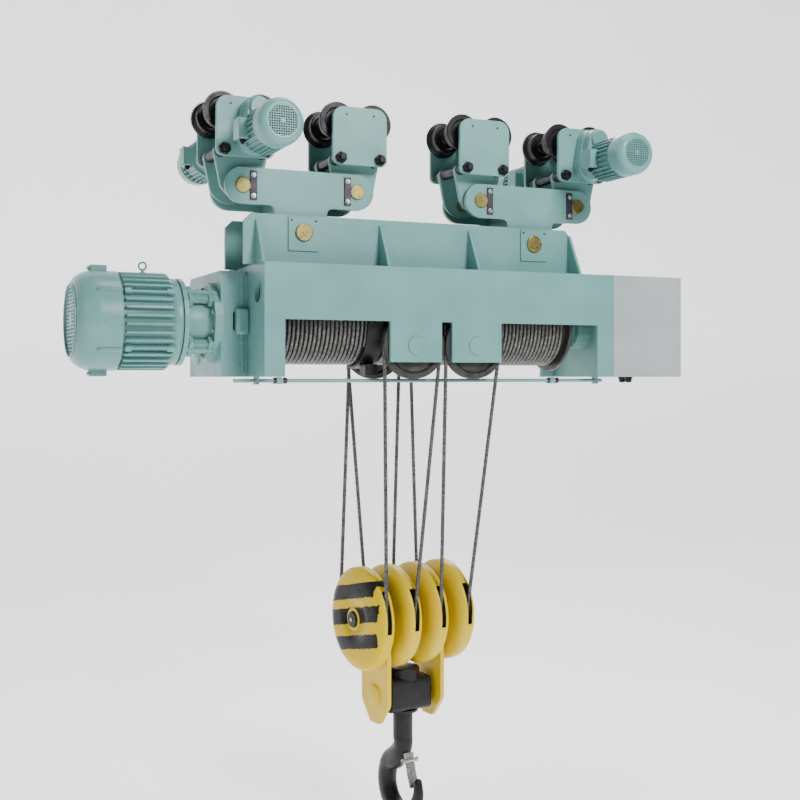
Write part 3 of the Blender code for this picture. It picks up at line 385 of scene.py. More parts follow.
def finish(name):
    """The finish with this name, made once."""
    if name not in FINISHES:
        hue = colours()
        makers = {
            "frame_enamel": lambda: enamel("frame_enamel", hue.paint),
            "motor_enamel": lambda: enamel("motor_enamel", shade(hue.paint, 0.97), 0.27),
            "control_box_enamel": lambda: enamel("control_box_enamel", hue.box, 0.42),
            "block_enamel": lambda: enamel("block_enamel", hue.block, 0.34),
            "striped_enamel": lambda: striped_enamel(
                "striped_enamel", hue.block,
                [(BLOCK_MIDDLE.z + w, half, end) for w, half, end in STRIPES],
            ),
            "dark_iron": lambda: forged("dark_iron", hue.dark, 0.4, 0.1),
            "wheel_iron": lambda: forged("wheel_iron", shade(hue.dark, 1.3), 0.36, 0.25),
            "sheave_iron": lambda: forged("sheave_iron", (0.06, 0.06, 0.055), 0.4, 0.6),
            "keeper_steel": lambda: forged("keeper_steel", (0.055, 0.045, 0.06), 0.45, 0.5),
            "zinc_plate": lambda: plated("zinc_plate", hue.zinc),
            "bright_steel": lambda: plated("bright_steel", (0.52, 0.52, 0.50), 0.28),
            "rope_steel": lambda: greased_wire("rope_steel"),
            # Greenish near-black standing in as painted shade inside the motor cowls
            "cowl_painted_shade": lambda: forged("cowl_painted_shade", (0.02, 0.03, 0.028), 0.6, 0.2),
        }
        FINISHES[name] = makers[name]()
    return FINISHES[name]


# What a piece wears: its material slot and its finish
FRAME_PAINT = ("green_paint", "frame_enamel")
MOTOR_PAINT = ("green_paint", "motor_enamel")
BOX_PAINT = ("grey_paint", "control_box_enamel")
BLOCK_PAINT = ("yellow_paint", "block_enamel")
FORGING = ("black_forging", "dark_iron")
BLACK_PAINT = ("black_paint", "dark_iron")
WHEEL_IRON = ("wheel_black", "wheel_iron")
SHEAVE_IRON = ("sheave_iron", "sheave_iron")
ZINC_PLATE = ("zinc_pin", "zinc_plate")
ROPE_WIRE = ("rope_wire", "rope_steel")
BARE_STEEL = ("bare_steel", "bright_steel")
DARK_SCREWS = ("green_paint", "keeper_steel")


# ---------------------------------------------------------------- making pieces


def from_bmesh(name, bm, angle=32):
    bmesh.ops.recalc_face_normals(bm, faces=bm.faces)
    mesh = bpy.data.meshes.new(name)
    bm.to_mesh(mesh)
    bm.free()
    obj = bpy.data.objects.new(name, mesh)
    bpy.context.scene.collection.objects.link(obj)
    mesh.shade_smooth()
    mesh.set_sharp_from_angle(angle=math.radians(angle))
    return obj


def made(add, *terms):
    """A new bmesh with one shape added to it."""
    bm = bmesh.new()
    add(bm, *terms)
    return bm


def settle(name, bm, body, wear, replaced=(), edge=0.0, angle=32):
    """Makes a piece, with its finish, rounded edges and the body that it rides on."""
    slot, look = wear
    obj = from_bmesh(name, bm, angle)
    obj.data.materials.append(finish(look))
    if edge:
        rounding = obj.modifiers.new("edge", "BEVEL")
        rounding.width = edge
        rounding.segments = 2
        rounding.limit_method = "ANGLE"
        rounding.angle_limit = math.radians(35)
        rounding.harden_normals = False
    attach(obj, body)
    if replaced:
        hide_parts(*replaced)
    return obj


def add_turned(bm, profile, centre, axis, sides=48, closed=False):
    """Adds a body of revolution to a bmesh; points are (along, radius)."""
    along = Vector(axis).normalized()
    across = along.orthogonal().normalized()
    third = along.cross(across)
    rings = []
    for distance, radius in profile:
        middle = Vector(centre) + along * distance
        if radius < 1e-6:
            rings.append([bm.verts.new(middle)])
            continue
        turns = [2 * math.pi * k / sides for k in range(sides)]
        rings.append(
            [
                bm.verts.new(middle + (across * math.cos(t) + third * math.sin(t)) * radius)
                for t in turns
            ]
        )
    pairs = list(zip(rings, rings[1:] + rings[:1])) if closed else list(zip(rings, rings[1:]))
    for first, second in pairs:
        for k in range(sides):
            n = (k + 1) % sides
            corners = [
                first[k % len(first)], first[n % len(first)], second[n % len(second)],
                second[k % len(second)],
            ]
            corners = list(dict.fromkeys(corners))
            if len(corners) > 2:
                bm.faces.new(corners)


def skin(bm, rings):
    """Joins rings of corners into a tube, closed by a face at each end."""
    for first, second in zip(rings, rings[1:]):
        for k in range(len(first)):
            n = (k + 1) % len(first)
            bm.faces.new([first[k], first[n], second[n], second[k]])
    bm.faces.new(rings[0])
    bm.faces.new(rings[-1])


def rod(start, end, radius):
    """The profile of a plain cylinder between two distances."""
    return [(start, 0), (start, radius), (end, radius), (end, 0)]


def add_box(bm, low, high, place=HERE):
    made = bmesh.ops.create_cube(bm, size=1.0)["verts"]
    size = Vector(high) - Vector(low)
    middle = (Vector(high) + Vector(low)) / 2
    matrix = place @ Matrix.Translation(middle) @ Matrix.Diagonal((*size, 1))
    bmesh.ops.transform(bm, matrix=matrix, verts=made)


def add_plate(bm, outline, low, high, plane="xz", place=HERE):
    """Adds a flat plate whose outline lies in the named plane."""
    put = {"xz": lambda a, b, c: (a, c, b), "yz": lambda a, b, c: (c, a, b)}[plane]
    near = [bm.verts.new(place @ Vector(put(a, b, low))) for a, b in outline]
    far = [bm.verts.new(place @ Vector(put(a, b, high))) for a, b in outline]
    bm.faces.new(near)
    bm.faces.new(list(reversed(far)))
    for k in range(len(outline)):
        n = (k + 1) % len(outline)
        bm.faces.new([near[k], far[k], far[n], near[n]])


def arc(centre, radius, start, end, steps):
    turns = [math.radians(start + (end - start) * k / steps) for k in range(steps + 1)]
    return [(centre[0] + radius * math.cos(t), centre[1] + radius * math.sin(t)) for t in turns]


def add_bolt(bm, seat, axis, size=0.009, high=0.008, washer=True):
    """Adds a hexagon head on a washer, standing on its seat."""
    if washer:
        add_turned(bm, rod(0, 0.002, size * 1.35), seat, axis, 20)
    start = 0.002 if washer else 0
    profile = [
        (start, 0), (start, size), (start + high * 0.8, size), (start + high, size * 0.86),
        (start + high, 0),
    ]
    add_turned(bm, profile, seat, axis, 6)


def repaint(node, look):
    """A new finish on a carried-over node."""
    obj = frame["nodes"][node]
    obj.data.materials.clear()
    obj.data.materials.append(finish(look))


def ring_spots(centre, axis_x, radius, count, start=0.0):
    """Points round a circle about the X direction."""
    spots = []
    for k in range(count):
        turn = start + 2 * math.pi * k / count
        spots.append(
            (
                Vector(
                    (axis_x, centre.y + radius * math.cos(turn), centre.z + radius * math.sin(turn))
                ),
                turn,
            )
        )
    return spots


# ---------------------------------------------------------------- frame and gear case


class HOIST_OT_frame(bpy.types.Operator):
    """Paints the frame, and adds its weld beads, boss bolts and sheave pin caps"""

    bl_idname = "hoist.frame"
    bl_label = "Frame"

    def execute(self, context):
        repaint("main_frame", "frame_enamel")
        self.welds()
        self.boss_bolts()
        self.sheave_caps()
        self.spy_hole_rim()
        return {"FINISHED"}

    def welds(self):
        """Fillet welds along the feet of the suspension plates."""
        bm = bmesh.new()
        inner = 0.148
        outer = 0.168
        x0, x1 = FRAME_LEFT + 0.004, 0.837
        size = 0.007
        for side in ENDS:
            for y, way in ((outer, 1), (inner, -1)):
                steps = 90
                previous = None
                for k in range(steps + 1):
                    x = x0 + (x1 - x0) * k / steps
                    swell = size * (1 + 0.16 * math.sin(k * 2.4))
                    ring = [
                        bm.verts.new((x, side * y, FRAME_TOP)),
                        bm.verts.new((x, side * (y + way * swell), FRAME_TOP)),
                        bm.verts.new((x, side * (y + way * swell * 0.62), FRAME_TOP + swell * 0.62)),
                        bm.verts.new((x, side * y, FRAME_TOP + swell)),
                    ]
                    if previous:
                        for a in range(4):
                            b = (a + 1) % 4
                            bm.faces.new([previous[a], previous[b], ring[b], ring[a]])
                    else:
                        bm.faces.new(ring)
                    previous = ring
                bm.faces.new(previous)
        settle("frame_welds", bm, "hoist_frame", FRAME_PAINT, angle=60)

    def boss_bolts(self):
        """Two small cap screws near the top corners of each boss plate."""
        bm = bmesh.new()
        for name in ("bogie_left_rock", "bogie_right_rock"):
            x, _, z = pivot(name)
            for side in ENDS:
                for along in ENDS:
                    add_bolt(
                        bm, (x + along * 0.06, side * 0.176, z + 0.056), (0, side, 0), 0.005,
                        0.005, False,
                    )
        settle("boss_screws", bm, "hoist_frame", DARK_SCREWS)

    def sheave_caps(self):
        """Round covers over the upper sheaves' pins, on the outside of their housings."""
        bm = bmesh.new()
        for number in UPPER_SHEAVES:
            x, y, z = pivot(f"upper_sheave_{number}_turn")
            side = 1 if y > 0 else -1
            profile = [(-0.001, 0), (-0.001, 0.044), (0.0045, 0.044), (0.006, 0.0425), (0.006, 0)]
            add_turned(bm, profile, (x, side * HALF_WIDE, z), (0, side, 0), 48)
        settle("sheave_pin_caps", bm, "hoist_frame", FRAME_PAINT)

    def spy_hole_rim(self):
        profile = [(0, 0.045), (0, 0.052), (0.003, 0.052), (0.003, 0.045)]
        bm = made(add_turned, profile, (FRAME_LEFT, -0.19, -0.7655), (-1, 0, 0), 40, True)
        settle("spy_hole_rim", bm, "hoist_frame", FRAME_PAINT)


class HOIST_OT_gear_case(bpy.types.Operator):
    """Paints the gear case, and adds its lip, cover bolts and the adapter's bolts"""

    bl_idname = "hoist.gear_case"
    bl_label = "Gear case"

    def execute(self, context):
        repaint("gear_case", "frame_enamel")
        case_x1 = FRAME_LEFT
        case_x0 = case_x1 - CASE_WIDTH
        top = FRAME_BASE + CASE_HEIGHT
        y0, y1 = -0.023, 0.57
        bm = bmesh.new()
        lip_x = case_x1 - 0.034
        grow = 0.006
        add_plate(
            bm,
            [(y0 - grow, FRAME_BASE), (y1 + grow, FRAME_BASE), (y1 + grow, top - 0.018),
             (y1 - 0.018, top + grow), (y0 + 0.018, top + grow), (y0 - grow, top - 0.018)],
            lip_x, lip_x + 0.014, "yz",
        )
        settle("gear_case_lip", bm, "hoist_frame", FRAME_PAINT, edge=0.0015)
        bm = bmesh.new()
        for z in (FRAME_BASE + 0.05, FRAME_BASE + 0.17, FRAME_BASE + 0.30, FRAME_BASE + 0.42):
            add_bolt(bm, (lip_x, y0, z), (0, -1, 0), 0.008, 0.006)
            add_bolt(bm, (lip_x, y1, z), (0, 1, 0), 0.008, 0.006)
        centre = MOTOR_MIDDLE
        for spot, _ in ring_spots(centre, case_x0 - 0.03, 0.166, 12, math.radians(15)):
            add_bolt(bm, spot, (-1, 0, 0), 0.009, 0.009)
        for spot, _ in ring_spots(centre, BODY_HIGH.x + 0.0225, 0.176, 12, math.radians(15)):
            add_bolt(bm, spot, (1, 0, 0), 0.009, 0.008)
        settle("gear_case_bolts", bm, "hoist_frame", FRAME_PAINT)
        cover_low = (case_x1 - 0.062, -0.062, DRUM_MIDDLE.z - 0.062)
        bm = made(add_box, cover_low, (case_x1 - 0.0002, -0.01, DRUM_MIDDLE.z + 0.062))
        settle("drum_bearing_cover", bm, "hoist_frame", FRAME_PAINT, edge=0.012)
        bm = bmesh.new()
        add_turned(
            bm, [(0, 0), (0, 0.026), (0.008, 0.026), (0.012, 0.02), (0.012, 0)],
            (case_x0 + 0.06, 0.40, top), (0, 0, 1), 6,
        )
        profile = [(0, 0), (0, 0.105), (0.008, 0.105), (0.011, 0.10), (0.011, 0)]
        add_turned(bm, profile, (case_x0, 0.43, FRAME_BASE + 0.17), (-1, 0, 0), 56)
        settle("gear_case_cover", bm, "hoist_frame", FRAME_PAINT)
        bm = bmesh.new()
        for spot, turn in ring_spots(centre, (case_x0 + BODY_HIGH.x) / 2, 0.172, 4, math.radians(45)):
            place = turned_at(spot, turn, "X")
            half = (case_x0 - BODY_HIGH.x) / 2
            for end in ENDS:
                add_box(
                    bm, (end * half - end * 0.052, -0.028, -0.047),
                    (end * half - end * 0.03, 0.018, 0.047), place,
                )
            add_box(bm, (-half + 0.01, -0.005, -0.006), (half - 0.01, 0.026, 0.006), place)
        settle("adapter_lugs", bm, "hoist_frame", FRAME_PAINT, edge=0.003)
        near, far = BODY_HIGH.x + 0.002, case_x0 - 0.001
        profile = [
            (near, 0.112), (near, 0.142), (near + 0.02, 0.134), (far - 0.02, 0.134), (far, 0.146),
            (far, 0.112),
        ]
        bm = made(add_turned, profile, (0, centre.y, centre.z), (1, 0, 0), 64, True)
        settle("adapter_sleeve", bm, "hoist_frame", FRAME_PAINT)
        return {"FINISHED"}


# ---------------------------------------------------------------- hoist motor


def add_mesh_disc(bm, place, radius, pitch, bar, hub):
    """A round grille of crossed bars with a solid middle; it lies in the XZ plane of its place."""
    count = int(radius / pitch)
    for k in range(-count, count + 1):
        offset = k * pitch
        reach = math.sqrt(max(radius ** 2 - offset ** 2, 0))
        if reach > 0.004:
            add_box(bm, (-reach, -0.0012, offset - bar / 2), (reach, 0.0012, offset + bar / 2), place)
            add_box(bm, (offset - bar / 2, -0.0009, -reach), (offset + bar / 2, 0.0009, reach), place)
    middle = place.translation
    way = place.to_3x3() @ Vector((0, 1, 0))
    add_turned(bm, rod(-0.002, 0.002, hub), middle, way, 32)
    rim = [
        (-0.002, radius - bar), (-0.002, radius + 0.001), (0.002, radius + 0.001),
        (0.002, radius - bar),
    ]
    add_turned(bm, rim, middle, way, 56, True)


class HOIST_OT_motor(bpy.types.Operator):
    """Builds the hoist motor's ribbed body, brake cowl, lugs, grille and lifting eye"""

    bl_idname = "hoist.motor"
    bl_label = "Hoist motor"

    def execute(self, context):
        self.body()
        self.cowl()
        self.lugs()
        self.grille()
        self.eye()
        repaint("motor_rotor", "bright_steel")
        return {"FINISHED"}

    def body(self):
        x0, x1 = BODY_LOW.x, BODY_HIGH.x
        outer = (BODY_HIGH.z - BODY_LOW.z) / 2
        centre = (0, MOTOR_MIDDLE.y, MOTOR_MIDDLE.z)
        root = outer - 0.032
        profile = [
            (x0, 0.04), (x0, root + 0.004), (x1 - 0.046, root + 0.004), (x1 - 0.040, root + 0.007),
            (x1 - 0.012, root + 0.006),
            (x1 - 0.004, root), (x1, root - 0.008), (x1, 0.04), (x1 - 0.02, 0.04),
            (x1 - 0.02, root - 0.02),
            (x0 + 0.02, root - 0.02), (x0 + 0.02, 0.04),
        ]
        bm = made(add_turned, profile, centre, (1, 0, 0), 96, True)
        settle("motor_body", bm, "hoist_frame", MOTOR_PAINT, ("motor_housing",))
        bm = bmesh.new()
        count = sizes().motor_ribs
        for k in range(count):
            turn = 2 * math.pi * (k + 0.5) / count
            place = turned_at(centre, turn, "X")
            tall = outer - 0.002
            add_plate(
                bm,
                [
                    (x0 + 0.012, root - 0.004), (x1 - 0.044, root - 0.004),
                    (x1 - 0.044, tall - 0.012), (x1 - 0.058, tall), (x0 + 0.012, tall),
                ],
                -0.0062, 0.0062, "xz", place,
            )
        settle("motor_ribs", bm, "hoist_frame", MOTOR_PAINT, edge=0.003)

    def cowl(self):
        x0, x1 = COWL_LOW.x, COWL_HIGH.x
        outer = (COWL_HIGH.z - COWL_LOW.z) / 2
        mouth = 0.163
        dome = []
        steps = 14
        for k in range(steps + 1):
            turn = math.radians(90 * k / steps)
            dome.append(
                (
                    x0 + 0.012 + 0.105 * (1 - math.cos(turn)),
                    mouth + 0.008 + (outer - mouth - 0.008) * math.sin(turn),
                )
            )
        profile = [(x0 + 0.004, mouth), (x0 + 0.001, mouth + 0.004), (x0 + 0.004, mouth + 0.008)] + dome
        profile += [(x1 - 0.0005, outer), (x1 - 0.0005, outer - 0.008)]
        profile += [(a + 0.006, r - 0.008) for a, r in reversed(dome[1:])] + [(x0 + 0.03, mouth)]
        bm = made(add_turned, profile, (0, MOTOR_MIDDLE.y, MOTOR_MIDDLE.z), (1, 0, 0), 96, True)
        settle("brake_cowl", bm, "hoist_frame", MOTOR_PAINT, ("motor_cowl",))

    def lugs(self):
        """Bolted lugs at the cowl's top and foot, and screwed straps and pads along its sides."""
        x = COWL_HIGH.x
        outer = (COWL_HIGH.z - COWL_LOW.z) / 2
        bm = bmesh.new()
        bolts = bmesh.new()
        for degrees in (0, 54, 126, 180, 234, 306):
            turn = math.radians(degrees)
            place = turned_at((x, MOTOR_MIDDLE.y, MOTOR_MIDDLE.z), turn, "X")
            if degrees in (0, 180):
                add_box(bm, (-0.115, -0.03, outer - 0.04), (-0.04, 0.03, outer + 0.026), place)
                seats = [(-0.115, -0.014, outer + 0.012), (-0.115, 0.014, outer + 0.012)]
            else:
                strap = [(-0.105, 0), (-0.105, 0.009), (-0.1, 0.012), (-0.001, 0.012), (-0.001, 0)]
                add_turned(bm, strap, place @ Vector((0, 0, outer - 0.001)), (1, 0, 0), 24)
                for start, end in ((0.013, 0.044), (0.206, 0.243)):
                    add_box(bm, (start, -0.013, outer - 0.03), (end, 0.013, outer - 0.001), place)
                seats = [(-0.104, 0, outer - 0.001)]
            for seat in seats:
                add_bolt(bolts, place @ Vector(seat), (-1, 0, 0), 0.0085, 0.008)
        settle("motor_lugs", bm, "hoist_frame", MOTOR_PAINT, edge=0.003)
        settle("motor_lug_bolts", bolts, "hoist_frame", MOTOR_PAINT)

    def grille(self):
        """A painted square mesh set back in the cowl's mouth, with dark blades behind it and a near-black
        disc that closes the cowl as painted shade.
        """
        x = COWL_LOW.x + 0.012
        centre = Vector((x, MOTOR_MIDDLE.y, MOTOR_MIDDLE.z))
        place = turned_at(centre, math.radians(-90), "Z")
        bm = made(add_mesh_disc, place, 0.162, 0.017, 0.006, 0.03)
        settle("cowl_grille", bm, "hoist_frame", MOTOR_PAINT)
        bm = bmesh.new()
        # Painted shade: a near-black disc across the whole cowl stands in for the shade deep inside it;
        # the blades in front are real and share its dark colour
        add_turned(bm, rod(0.016, 0.018, 0.162), centre, (1, 0, 0), 48)
        for k in range(9):
            place = turned_at(centre, 2 * math.pi * k / 9, "X")
            place = place @ Matrix.Rotation(BLADE_TILT, 4, "Y")
            add_box(bm, (0.006, 0.04, -0.016), (0.009, 0.15, 0.016), place)
        settle("cowl_blades_and_shade_disc", bm, "hoist_frame", ("green_paint", "cowl_painted_shade"))

    def eye(self):
        x = BODY_LOW.x + 0.13
        top = MOTOR_MIDDLE.z + (BODY_HIGH.z - BODY_LOW.z) / 2
        bm = bmesh.new()
        stem = [(-0.03, 0), (-0.03, 0.012), (0.002, 0.012), (0.005, 0.007), (0.012, 0.006), (0.012, 0)]
        add_turned(bm, stem, (x, MOTOR_MIDDLE.y, top), (0, 0, 1), 24)
        tube = [
            (0.0048 * math.sin(math.pi * k / 6), 0.0175 + 0.0048 * math.cos(math.pi * k / 6))
            for k in range(12)
        ]
        add_turned(bm, tube, (x, MOTOR_MIDDLE.y, top + 0.029), (0.5, 1, 0), 32, True)
        settle("lifting_eye", bm, "hoist_frame", MOTOR_PAINT)


# ---------------------------------------------------------------- drum, guide, limit rod, control box


def rope_tube(bm, route, radius, sides=10):
    """A plain round tube along a list of points."""
    rings = []
    for k, point in enumerate(route):
        ahead = route[min(k + 1, len(route) - 1)] - route[max(k - 1, 0)]
        ahead.normalize()
        outward = ahead.cross(Vector((1, 0, 0))).normalized()
        third = ahead.cross(outward)
        turns = [2 * math.pi * s / sides for s in range(sides)]
        rings.append(
            [
                bm.verts.new(point + (outward * math.cos(t) + third * math.sin(t)) * radius)
                for t in turns
            ]
        )
    skin(bm, rings)


class HOIST_OT_drum(bpy.types.Operator):
    """Builds the drum and the rope wound on it, and finishes the guide and the limit rod"""

    bl_idname = "hoist.drum"
    bl_label = "Drum and rope guide"

    def execute(self, context):
        self.barrel()
        self.winding()
        self.guide()
        self.limit_rod()
        return {"FINISHED"}

    def barrel(self):
        x0, x1 = DRUM_LOW.x, DRUM_HIGH.x
        flange_x = FRAME_LEFT + FLANGE_IN
        flange_r = (DRUM_HIGH.z - DRUM_LOW.z) / 2
        bare = 0.184
        profile = [
            (x0, 0), (x0, 0.045), (flange_x, 0.045), (flange_x, flange_r - 0.003),
            (flange_x + 0.003, flange_r),
            (flange_x + 0.015, flange_r), (flange_x + FLANGE_THICK, flange_r - 0.003),
            (flange_x + FLANGE_THICK, bare),
            (x1 - FLANGE_THICK, bare), (x1 - FLANGE_THICK, flange_r - 0.003),
            (x1 - 0.015, flange_r), (x1 - 0.003, flange_r),
            (x1, flange_r - 0.003), (x1, 0.072), (x1 - 0.02, 0.072), (x1 - 0.02, 0),
        ]
        bm = made(add_turned, profile, (0, DRUM_MIDDLE.y, DRUM_MIDDLE.z), (1, 0, 0), 96)
        settle("drum_barrel", bm, "drum", ("drum_rope", "sheave_iron"), ("drum",))

    def winding(self):
        """The wound rope, laid side by side on both sides of the rope guide."""
        pitch = sizes().rope_pitch
        start_x = FRAME_LEFT + FLANGE_IN + FLANGE_THICK + ROPE_R + 0.002
        end_x = DRUM_HIGH.x - FLANGE_THICK - ROPE_R - 0.002
        gap = (GUIDE_LOW.x + 0.004, GUIDE_HIGH.x + 0.022)
        per_turn = 40
        for name, x0, x1 in (
            ("rope_on_drum_left", start_x, gap[0]), ("rope_on_drum_right", gap[1], end_x),
        ):
            steps = int((x1 - x0) / pitch * per_turn)
            route = []
            for k in range(steps + 1):
                turn = 2 * math.pi * k / per_turn
                x = x0 + pitch * k / per_turn
                route.append(
                    Vector((x, WOUND_R * math.cos(turn), DRUM_MIDDLE.z + WOUND_R * math.sin(turn)))
                )
            bm = bmesh.new()
            rope_tube(bm, route, ROPE_R - 0.0004, 8)
            settle(name, bm, "drum", ("drum_rope", "rope_steel"), angle=60)

    def guide(self):
        inner = 0.2098
        outer = 0.2218
        outline = arc((0, DRUM_MIDDLE.z), inner, 8, 283, 60) + arc(
            (0, DRUM_MIDDLE.z), outer, 283, 8, 60,
        )
        bm = made(add_plate, outline, GUIDE_LOW.x, GUIDE_HIGH.x, "yz")
        settle("rope_guide_ring", bm, "guide", BLACK_PAINT, ("rope_guide",), edge=0.002)
        low = FRAME_BASE + 0.006
        bm = made(
            add_box, (GUIDE_LOW.x + 0.01, -0.165, low), (GUIDE_HIGH.x - 0.01, -0.085, low + 0.055),
        )
        settle("rope_guide_striker", bm, "guide", BLACK_PAINT, edge=0.003)
        bm = bmesh.new()
        for x in (GUIDE_LOW.x + 0.018, GUIDE_HIGH.x - 0.018):
            for degrees in (60, 120, 180, 240):
                turn = math.radians(degrees)
                way = Vector((0, math.cos(turn), math.sin(turn)))
                add_bolt(
                    bm, Vector((x, 0, DRUM_MIDDLE.z)) + way * (outer - 0.001), way, 0.006, 0.004,
                    False,
                )
        settle("rope_guide_screws", bm, "guide", ("black_paint", "keeper_steel"))

    def limit_rod(self):
        repaint("limit_rod", "frame_enamel")
        low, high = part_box("limit_rod")
        middle = (low + high) / 2
        bm = bmesh.new()
        for at in (0.12, 1.6):
            x = FRAME_LEFT + at + 0.006
            for end in (-0.024, 0.024):
                add_turned(bm, rod(-0.008, 0.008, 0.0155), (x + end, middle.y, middle.z), (1, 0, 0), 6)
        settle("limit_rod_nuts", bm, "limit", DARK_SCREWS)


class HOIST_OT_control_box(bpy.types.Operator):
    """Paints the control box and its end cover, and adds hinges, screws and cable glands"""

    bl_idname = "hoist.control_box"
    bl_label = "Control box"

    def execute(self, context):
        bm = bmesh.new()
        x0, x1 = BOX_LOW.x + 0.0005, BOX_HIGH.x
        wall = 0.006
        outer = [
            (-HALF_WIDE, FRAME_BASE), (HALF_WIDE, FRAME_BASE), (HALF_WIDE, FRAME_TOP),
            (-HALF_WIDE, FRAME_TOP),
        ]
        inner = [
            (a - math.copysign(wall, a), b + (wall if b == FRAME_BASE else -wall))
            for a, b in outer
        ]
        for index in range(4):
            following = (index + 1) % 4
            corners = [outer[index], outer[following], inner[following], inner[index]]
            add_plate(bm, corners, x0, x1, "yz")
        add_plate(bm, inner, x0, x0 + wall, "yz")
        bmesh.ops.remove_doubles(bm, verts=bm.verts, dist=0.00001)
        settle("control_box_shell", bm, "hoist_frame", BOX_PAINT, ("electrics_box",))
        bm = made(
            add_box, (LID_LOW.x, -HALF_WIDE + 0.0005, FRAME_BASE + 0.0005),
            (LID_HIGH.x, HALF_WIDE - 0.0005, FRAME_TOP - 0.0005),
        )
        settle("control_box_cover", bm, "lid", BOX_PAINT, ("electrics_lid",), edge=0.003)
        bm = bmesh.new()
        for z in (FRAME_BASE + 0.09, FRAME_TOP - 0.09):
            add_turned(
                bm, rod(-0.03, 0.03, 0.007), (LID_HIGH.x - 0.007, HALF_WIDE + 0.006, z), (0, 0, 1),
                20,
            )
        settle("cover_hinge_knuckles", bm, "lid", BOX_PAINT)
        bm = bmesh.new()
        for y in (-HALF_WIDE + 0.03, HALF_WIDE - 0.03):
            for z in (FRAME_BASE + 0.03, (FRAME_BASE + FRAME_TOP) / 2, FRAME_TOP - 0.03):
                add_bolt(bm, (LID_HIGH.x - 0.0035, y, z), (1, 0, 0), 0.0055, 0.0030, False)
        settle("cover_screws", bm, "lid", ("grey_paint", "bright_steel"))
        self.inside()
        self.glands()
        return {"FINISHED"}

    def inside(self):
        """Contactors and a terminal rail on the box's back plate, seen when the cover is open."""
        bm = bmesh.new()
        x = BOX_LOW.x + 0.02
        for row, z in enumerate((FRAME_TOP - 0.14, FRAME_TOP - 0.31)):
            add_box(bm, (x, -0.24, z - 0.012), (x + 0.01, 0.24, z + 0.012))
            for k in range(4):
                y = -0.18 + 0.12 * k
                add_box(
                    bm, (x + 0.011, y - 0.04, z - 0.05),
                    (x + 0.11 - row * 0.02, y + 0.04, z + 0.05),
                )
        settle("contactors", bm, "hoist_frame", ("grey_paint", "dark_iron"), edge=0.003)

    def glands(self):
        bm = bmesh.new()
        for y in (-0.06, 0.0):
            profile = [
                (0, 0), (0, 0.022), (0.010, 0.022), (0.010, 0.018), (0.026, 0.017), (0.030, 0.013),
                (0.030, 0),
            ]
            add_turned(bm, profile, (BOX_LOW.x + 0.25, y, FRAME_BASE), (0, 0, -1), 24)
        settle("cable_glands", bm, "hoist_frame", BLACK_PAINT)


# ---------------------------------------------------------------- bogies


